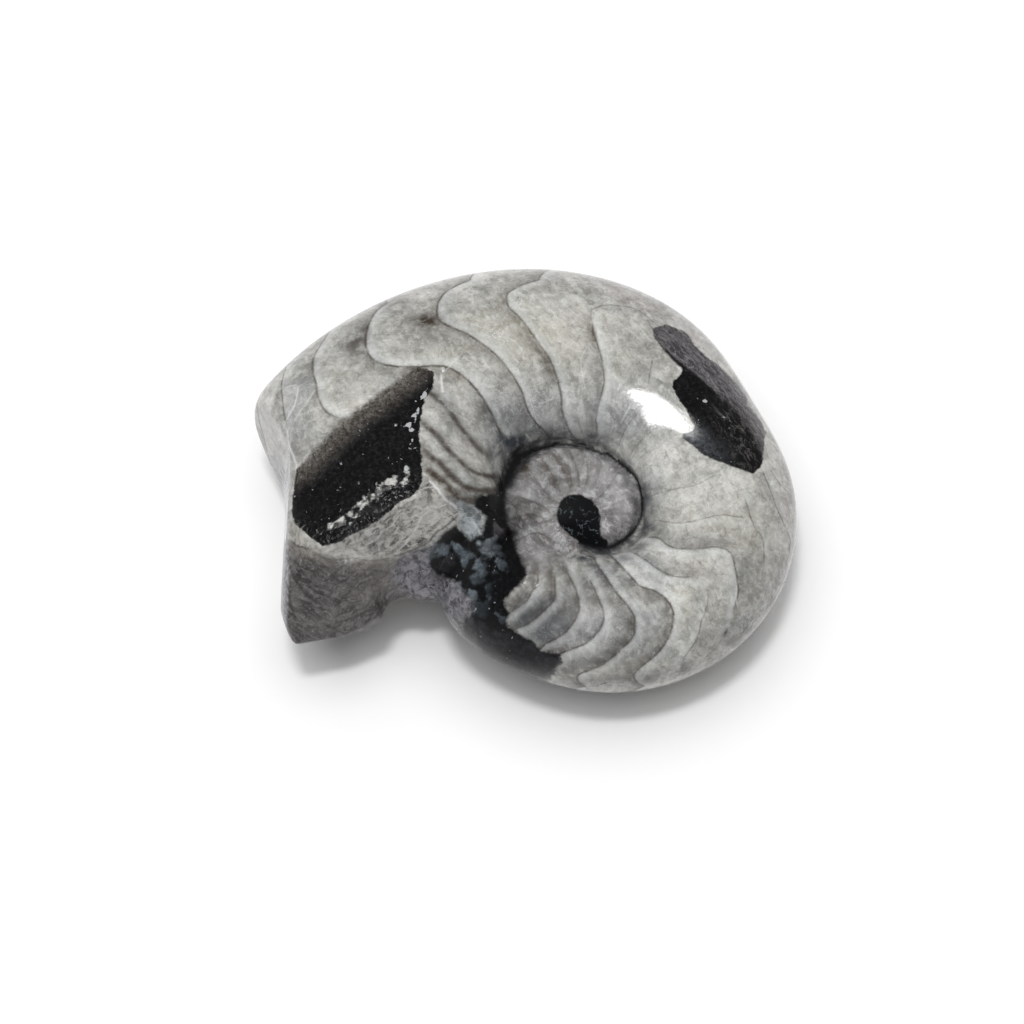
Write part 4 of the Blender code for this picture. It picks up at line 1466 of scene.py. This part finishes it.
body = blend(plate, colour(152, 153, 149), colour(196, 195, 190))
body = wash(body, (
    (rise(wide_clouds, 0.36, 0.50, 0.45, 0.0), (138, 136, 129)),
    (rise(wide_clouds, 0.50, 0.64, 0.0, 0.45), (216, 213, 205)),
    (rise(clouds, 0.34, 0.50, 0.55, 0.0), (128, 128, 123)),
    (rise(clouds, 0.50, 0.66, 0.0, 0.60), (216, 214, 208)),
    (times(stored("warm"), 0.80), (190, 186, 171)),
    # Paler crystal, and painted sheen along the outline.
    (times(stored("bright"), 0.66), (226, 225, 221)),
    # Painted reflection: the violet sheen along the outline.
    (times(stored("mauve"), 0.60), (176, 169, 169)),
    (times(stored("cool"), 0.62), (154, 161, 167)),
    # Painted shade, with some greyer crystal: the grey spots.
    (times(stored("grey"), 0.80), (104, 106, 107)),
    (rise(small_plate, 0.3, 1.0, 0.0, 0.25), (212, 213, 210)),
    (rise(blotches, 0.34, 0.50, 0.44, 0.0), (122, 121, 116)),
    (rise(blotches, 0.52, 0.68, 0.0, 0.46), (224, 224, 219)),
    (rise(fibres, 0.36, 0.50, 0.26, 0.0), (112, 110, 104)),
    (rise(fibres, 0.54, 0.70, 0.0, 0.30), (228, 228, 223)),
    (rise(grains, 0.36, 0.50, 0.25, 0.0), (98, 97, 94)),
    (rise(grains, 0.54, 0.70, 0.0, 0.25), (232, 232, 228)),
))

spread = rise(noise(mm, 0.4, 3.0), 0.50, 0.70, 0.0, 0.55)
threaded = calc("ADD", spread, times(stored("crinkle"), 0.9), clamp=True)
white_threads = calc("MAXIMUM", thread(0.55, 0.016), times(thread(1.15, 0.026), 0.8))
dark_spread = rise(noise(mm, 0.33, 3.0), 0.50, 0.64, 0.0, 0.42)
specks = rise(noise(mm, 2.7, 2.0, 0.6), 0.705, 0.77, 0.0, 0.60)
body = wash(body, (
    (times(white_threads, times(threaded, 0.62)), (236, 238, 238)),
    (times(thread(0.42, 0.012, warped), dark_spread), (92, 84, 74)),
    (specks, (72, 68, 62)),
))

# %% [markdown]
# Growth lines cross the tube. Noise is stretched along the stored direction of growth, weak on
# the last whorl and strong on the earlier one inside the seam, which is greyer and more mauve.

# %% Growth lines and the earlier whorl
growth_way = stored("growth", "Vector")
fine_growth = noise(stretched(growth_way, (16.0, 16.0, 0.10)), 1.0, 4.0, 0.6, 0.3)
broad_growth = noise(stretched(growth_way, (8.0, 8.0, 0.16)), 1.0, 5.0, 0.62, 0.4)
body = wash(body, ((rise(fine_growth, 0.38, 0.50, 0.18, 0.0), (122, 118, 112)),))

inner_share = rise(stored("inner_whorl"), -0.2, 0.4)
inner_tone = wash(between(broad_growth, 0.38, 0.60, (92, 89, 89), (130, 128, 129)), (
    (rise(blotches, 0.36, 0.50, 0.62, 0.0), (58, 55, 57)),
    (rise(blotches, 0.50, 0.66, 0.0, 0.66), (196, 194, 196)),
    (rise(grains, 0.38, 0.50, 0.35, 0.0), (74, 71, 73)),
    (rise(grains, 0.54, 0.70, 0.0, 0.35), (206, 205, 207)),
    (times(stored("bright"), 0.74), (200, 198, 199)),
))
body = blend(times(inner_share, 0.92), body, inner_tone)

# %% [markdown]
# The broken end is a mix of rock and crystal: a pale facet with crinkled white threads, a
# brown-grey wall in folds, a mauve part by the arch and a violet strip along the left edge. The
# wall is partly dark rock and partly painted shade, since it faces down, away from the light. The
# folds fall to the right on the left part of the end and rise on the rest.

# %% The broken end
split = nodes.new("ShaderNodeSeparateXYZ")
feed(split.inputs[0], warped)
on_the_left = rise(split.outputs["X"], -28.5, -25.0, 1.0, 0.0)


def fold_noise(scale, tilt, distortion):
    space = stretched(warped, scale, (0.0, math.radians(tilt), 0.0))
    return noise(space, 0.75, 5.0, 0.60, distortion)


folds = blend(on_the_left, fold_noise((0.35, 1.6, 1.9), -24, 0.7),
              fold_noise((0.35, 1.6, 2.1), 48, 0.5))
end_share = ragged_edge("grey_end", 2.2, -0.6, 0.5)
# Dark rock and painted shade: the wall of the broken end.
end_tone = wash(between(folds, 0.36, 0.66, (52, 50, 49), (110, 107, 106)), (
    (times(stored("bright"), 0.62), (158, 153, 146)),
    (rise(blotches, 0.36, 0.50, 0.30, 0.0), (48, 47, 47)),
    (rise(grains, 0.38, 0.50, 0.45, 0.0), (48, 46, 46)),
    (rise(grains, 0.54, 0.70, 0.0, 0.42), (176, 174, 173)),
))
body = blend(end_share, body, end_tone)

mauve_share = ragged_edge("mauve_rock", 2.2, -0.5, 0.5)
mauve_noise = noise(finely_warped, 0.9, 6.0, 0.68, 0.6)
body = blend(mauve_share, body, between(mauve_noise, 0.38, 0.62, (62, 60, 65), (142, 140, 145)))

facet_noise = noise(finely_warped, 0.8, 5.0, 0.62, 0.6)
facet_tone = wash(between(facet_noise, 0.36, 0.62, (62, 60, 58), (172, 170, 165)), (
    (times(stored("bright"), 0.72), (206, 204, 198)),
    (times(thread(0.45, 0.065), 0.60), (214, 212, 206)),
    (times(thread(1.0, 0.040), 0.30), (206, 204, 199)),
    (times(thread(0.9, 0.04, warped), 0.16), (84, 82, 80)),
))
body = blend(ragged_edge("pale_facet", 2.0, -0.7, 0.6), body, facet_tone)

SMALL_FACETS = (
    ("lobe_facet", 1.4, -0.7, 0.6, 0.80, (blotches, 0.36, 0.62, (70, 78, 84), (164, 172, 176))),
    ("cream_wedge", 1.6, -0.6, 0.7, 0.80, (folds, 0.4, 0.6, (120, 117, 112), (168, 164, 156))),
    ("left_strip", 0.6, -0.25, 0.25, 0.85, (folds, 0.4, 0.6, (129, 126, 131), (176, 174, 178))),
)
for name, amount, start, end, strength, tones in SMALL_FACETS:
    facet_share = times(ragged_edge(name, amount, start, end), strength)
    body = blend(facet_share, body, between(*tones))
# Painted shade: the grey spots darken the lower flank once more, multiplied over everything.
body = blend(times(stored("grey"), 0.55), body, colour(150, 152, 156), "MULTIPLY")

# %% [markdown]
# The sutures and the seam come from the stored distances. A little noise makes their edges
# irregular, and the stored shade darkens one side of each suture.

# %% Lines
wobble = times(around_zero(noise(mm, 1.4, 3.0, 0.6)), 0.35)
blotch = rise(noise(mm, 0.55, 4.0, 0.62), 0.34, 0.62, 0.45, 1.20)
patchy = rise(noise(mm, 0.7, 4.0, 0.6), 0.34, 0.60, 0.52, 1.0)


def line_share(name, softness):
    gap = calc("ABSOLUTE", calc("ADD", stored(name + "_aside"), wobble))
    width = stored(name + "_width")
    beyond_edge = calc("SUBTRACT", gap, times(width, 0.5))
    softness = calc("ADD", softness, times(width, 0.34))
    share = rise(beyond_edge, times(softness, -1.0), softness, 1.0, 0.0)
    return times(share, stored(name + "_tone"))


# The suture shade turns bluer under the cool spots and the painted shade of the grey spots.
cool_share = times(calc("ADD", stored("cool"), stored("grey")), 0.9)
shade_tone = blend(cool_share, colour(88, 82, 74), colour(72, 75, 79))
# Stain and painted shade round the seam, broken up by the blotches.
seam_stain_and_shade = calc("MULTIPLY", stored("seam_stain_and_shade"), blotch, clamp=True)
streak_share = line_share("streak", 0.10)
body = wash(body, ((times(stored("suture_pale"), 0.55), (216, 219, 219)),))
body = blend(times(stored("suture_shade"), blotch), body, shade_tone)
body = wash(body, (
    # Brown stain, and painted shade round the inner whorl by the seam.
    (times(stored("brown_stain_and_shade"), blotch), (62, 55, 48)),
    (times(rise(stored("brown_wedge"), -0.15, 0.35), 0.55), (78, 62, 48)),
    (times(seam_stain_and_shade, calc("SUBTRACT", 1.0, inner_share)), (52, 56, 62)),
    (times(line_share("suture", 0.06), times(patchy, 0.85)), (58, 49, 41)),
    (times(line_share("crack", 0.08), 0.85), (232, 234, 234)),
    (times(streak_share, 0.85), (36, 34, 34)),
))

seam_gap = calc("ABSOLUTE", calc("ADD", stored("seam_aside"), wobble))
beside_seam = calc("SUBTRACT", seam_gap, times(stored("seam_width"), 0.5))
seam_halo = rise(beside_seam, -0.1, 1.2, 0.70, 0.0)
body = wash(body, (
    (times(times(seam_halo, stored("seam_tone")), blotch), (44, 45, 49)),
    (line_share("seam", 0.08), (13, 13, 15)),
))

# %% [markdown]
# The dark rock is nearly black, with white flecks of calcite in it, and a band of white grains
# lies along the edge of the largest patch. That patch thins out into dusty grey at its upper
# edge. The right one has a grey lobe, partly a painted reflection of the bright surroundings, a
# crumbly corner and a painted blue-grey sheen.

# %% Dark rock
black = between(noise(finely_warped, 1.6, 6.0, 0.72), 0.44, 0.74, (5, 5, 6), (38, 38, 40))
fleck_spread = rise(noise(mm, 0.55, 3.0), 0.50, 0.62)
flecks = times(rise(cells(finely_warped, 1.05), 0.08, 0.20, 1.0, 0.0), fleck_spread)

diamond_depth = calc("ADD", stored("diamond_fade"), times(ragged, 1.5))
diamond_share = times(ragged_edge("diamond", 0.9, -0.12, 0.18), rise(diamond_depth, -0.6, 0.6))
diamond_dust = noise(finely_warped, 1.9, 6.0, 0.75)
diamond_tone = between(diamond_dust, 0.40, 0.66, (58, 54, 50), (124, 119, 113))
diamond_tone = blend(rise(diamond_depth, -0.1, 4.2), diamond_tone, black)
body = blend(diamond_share, body, diamond_tone)

right_share = ragged_edge("right_patch", 0.7, -0.12, 0.18)
lobe_space = stretched(finely_warped, (0.35, 2.4, 1.4), (0.0, 0.0, math.radians(-47)))
lobe_dark = between(noise(lobe_space, 1.2, 5.0, 0.7), 0.40, 0.66, (62, 60, 62), (124, 121, 123))
# Partly grey rock, partly painted reflection of the bright surroundings: the lobe.
right_tone = blend(ragged_edge("right_lobe", 1.6, -0.3, 0.5), black, lobe_dark)
crumble_space = stretched(finely_warped, (0.5, 1.3, 1.0), (0.0, 0.0, math.radians(-62)))
crumble = noise(crumble_space, 0.9, 6.0, 0.72, 1.0)
crumble_tone = between(crumble, 0.46, 0.66, (12, 12, 12), (90, 88, 86))
right_tone = blend(times(stored("crumbly"), 0.85), right_tone, crumble_tone)
right_tone = wash(right_tone, (
    # Painted sheen over the black.
    (times(stored("painted_sheen"), rise(grains, 0.38, 0.6, 0.15, 1.0)), (92, 96, 101)),
    (times(streak_share, 0.9), (14, 13, 14)),
))
body = blend(right_share, body, right_tone)

# %% [markdown]
# The rock in the mouth shows its blue-grey lumps where the stored depth is more than nothing,
# fading to black towards their edges as painted shading of a rounded lump. A few of them come
# through the mauve rock beside it. Pale worm-like threads cross the plug.

# %% Rock in the mouth and the plug
matrix_share = ragged_edge("matrix", 1.0, -0.35, 0.35)
depth_noise = around_zero(noise(mm, 1.1, 4.0, 0.6))
depth = calc("ADD", stored("lump_depth"), times(depth_noise, 0.80))
lump_colour = blend(stored("lump_warmth"), colour(122, 134, 142), colour(118, 112, 115))
lump_colour = wash(lump_colour, (
    (rise(blotches, 0.38, 0.62, 0.60, 0.0), (18, 22, 28)),
    (rise(grains, 0.50, 0.70, 0.0, 0.35), (178, 186, 190)),
))
lump_tone = blend(times(stored("lump_light"), 0.9), colour(10, 13, 17), lump_colour)
rock_tone = blend(rise(depth, -0.04, 0.48), blend(0.5, black, colour(5, 6, 8)), lump_tone)
body = blend(matrix_share, body, rock_tone)
mauve_lumps = times(mauve_share, times(stored("lump_light"), 0.7))
body = blend(times(rise(depth, 0.05, 0.45), mauve_lumps), body, lump_colour)
lower_noise = noise(finely_warped, 0.9, 6.0, 0.70)
lower_tone = between(lower_noise, 0.42, 0.68, (8, 8, 10), (42, 42, 48))
body = blend(times(ragged_edge("lower_rock", 1.4, -0.35, 0.35), 0.9), body, lower_tone)

plug_share = ragged_edge("plug_face", 0.5, -0.15, 0.2)
worms = times(thread(0.75, 0.026), rise(noise(mm, 0.9, 3.0), 0.44, 0.58))
plug_tone = blend(times(worms, 0.50), colour(3, 4, 6), colour(106, 116, 122))
body = blend(plug_share, body, plug_tone)

# %% White grains, flecks and two painted glints
band_spread = rise(noise(mm, 0.9, 3.0, 0.6), 0.36, 0.50, 0.25, 1.0)
band_share = times(ragged_edge("granule_band", 2.0, 0.0, 0.35), band_spread)
band_gap = cells(finely_warped, 1.15, "SMOOTH_F1")
band_tone = between(band_gap, 0.25, 0.62, (196, 195, 191), (96, 96, 96))
body = blend(times(band_share, rise(band_gap, 0.40, 0.66, 1.0, 0.0)), body, band_tone)

below_band = times(stored("below_band"), rise(noise(finely_warped, 1.9, 5.0, 0.7), 0.52, 0.66))
dark_share = calc("MAXIMUM", calc("MAXIMUM", diamond_share, right_share), matrix_share)
# The two spots low in the mouth's rock are painted glints of the lamp.
fleck_and_glint_shape = rise(calc("ADD", stored("flecks_and_glints"), times(ragged, 1.6)), 0.66, 0.80)
body = wash(body, (
    (times(times(below_band, diamond_share), 0.8), (158, 158, 158)),
    (times(times(flecks, dark_share), 0.75), (168, 172, 174)),
    (times(fleck_and_glint_shape, 0.78), (192, 195, 197)),
))

# %% [markdown]
# Polish: the crystal is glossy all over. The rock took less polish, and so did the plug, the
# groove of the seam and the broken end. Fine pits break up the reflections.

# %% Polish
PIT_STRENGTH = 0.06
PIT_DEPTH = 0.2 * MM
CALCITE_IOR = 1.40
DULLER = (
    (end_share, 0.20), (diamond_share, 0.08), (plug_share, 0.14), (matrix_share, 0.10),
    (seam_halo, 0.22), (right_share, 0.04), (calc("MINIMUM", stored("dull"), 2.0), 0.46),
)

shine = rise(fibres, 0.35, 0.65, 0.12, 0.08)
for share, extra in DULLER:
    shine = calc("ADD", shine, times(share, extra))
pits = calc("ADD", times(noise(mm, 2.4, 5.0, 0.6), 0.6), times(white_threads, 0.25))
bump = nodes.new("ShaderNodeBump")
bump.inputs["Strength"].default_value = PIT_STRENGTH
bump.inputs["Distance"].default_value = PIT_DEPTH
feed(bump.inputs["Height"], pits)
feed(surface.inputs["Base Color"], body)
feed(surface.inputs["Roughness"], shine)
feed(surface.inputs["Normal"], bump.outputs[0])
surface.inputs["IOR"].default_value = CALCITE_IOR
print("finish has", len(nodes), "nodes")

# %% Hand the stone over
stone.data.materials.clear()
stone.data.materials.append(finish)
deselect()
stone.select_set(True)
bpy.context.view_layer.objects.active = stone
bpy.ops.object.shade_smooth()
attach(stone, "root")
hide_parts("goniatite")

# %% [markdown]
# The photo was taken on a white table. A small oval lamp almost straight overhead gives the one
# bright spot. A wide soft light, a little behind the stone, gives the shadow towards the camera,
# and it is left out of the reflections. A grey world fills the shadows.

# %% Floor and light
TABLE_SIZE = 4.0
TABLE_WHITE = (0.97, 0.97, 0.97, 1.0)
ROOM_LIGHT = 0.18

deselect()
bpy.ops.mesh.primitive_plane_add(size=TABLE_SIZE)
floor = bpy.context.object
floor.name = "white_table"
table = bpy.data.materials.new("white_table")
table.use_nodes = True
matt = table.node_tree.nodes["Principled BSDF"]
matt.inputs["Base Color"].default_value = TABLE_WHITE
matt.inputs["Roughness"].default_value = 1.0
matt.inputs["Specular IOR Level"].default_value = 0.0
floor.data.materials.append(table)

LIGHT_TARGET = Vector((0.010, 0.0, 0.02))
LIGHTS = (
    ("small_lamp", Vector((-0.083, 0.002, 0.98)), (0.112, 0.192), 11.1, 3.4, True),
    ("wide_light", Vector((-0.12, 0.13, 0.98)), (1.30, 1.30), 0.0, 8.3, False),
)
for name, direction, size, turn, power, mirrored_in_stone in LIGHTS:
    bpy.ops.object.light_add(type="AREA", location=LIGHT_TARGET + direction.normalized())
    lamp = bpy.context.object
    lamp.name = name
    lamp.data.shape = "ELLIPSE"
    lamp.data.size, lamp.data.size_y = size
    lamp.data.energy = power
    lamp.visible_glossy = mirrored_in_stone
    own_turn = Quaternion((0.0, 0.0, 1.0), math.radians(turn))
    lamp.rotation_euler = (direction.to_track_quat("Z", "Y") @ own_turn).to_euler()

world = bpy.data.worlds.new("room")
bpy.context.scene.world = world
world.use_nodes = True
background = world.node_tree.nodes["Background"]
background.inputs["Color"].default_value = (1.0, 1.0, 1.0, 1.0)
background.inputs["Strength"].default_value = ROOM_LIGHT
bpy.context.scene.view_settings.view_transform = "Standard"
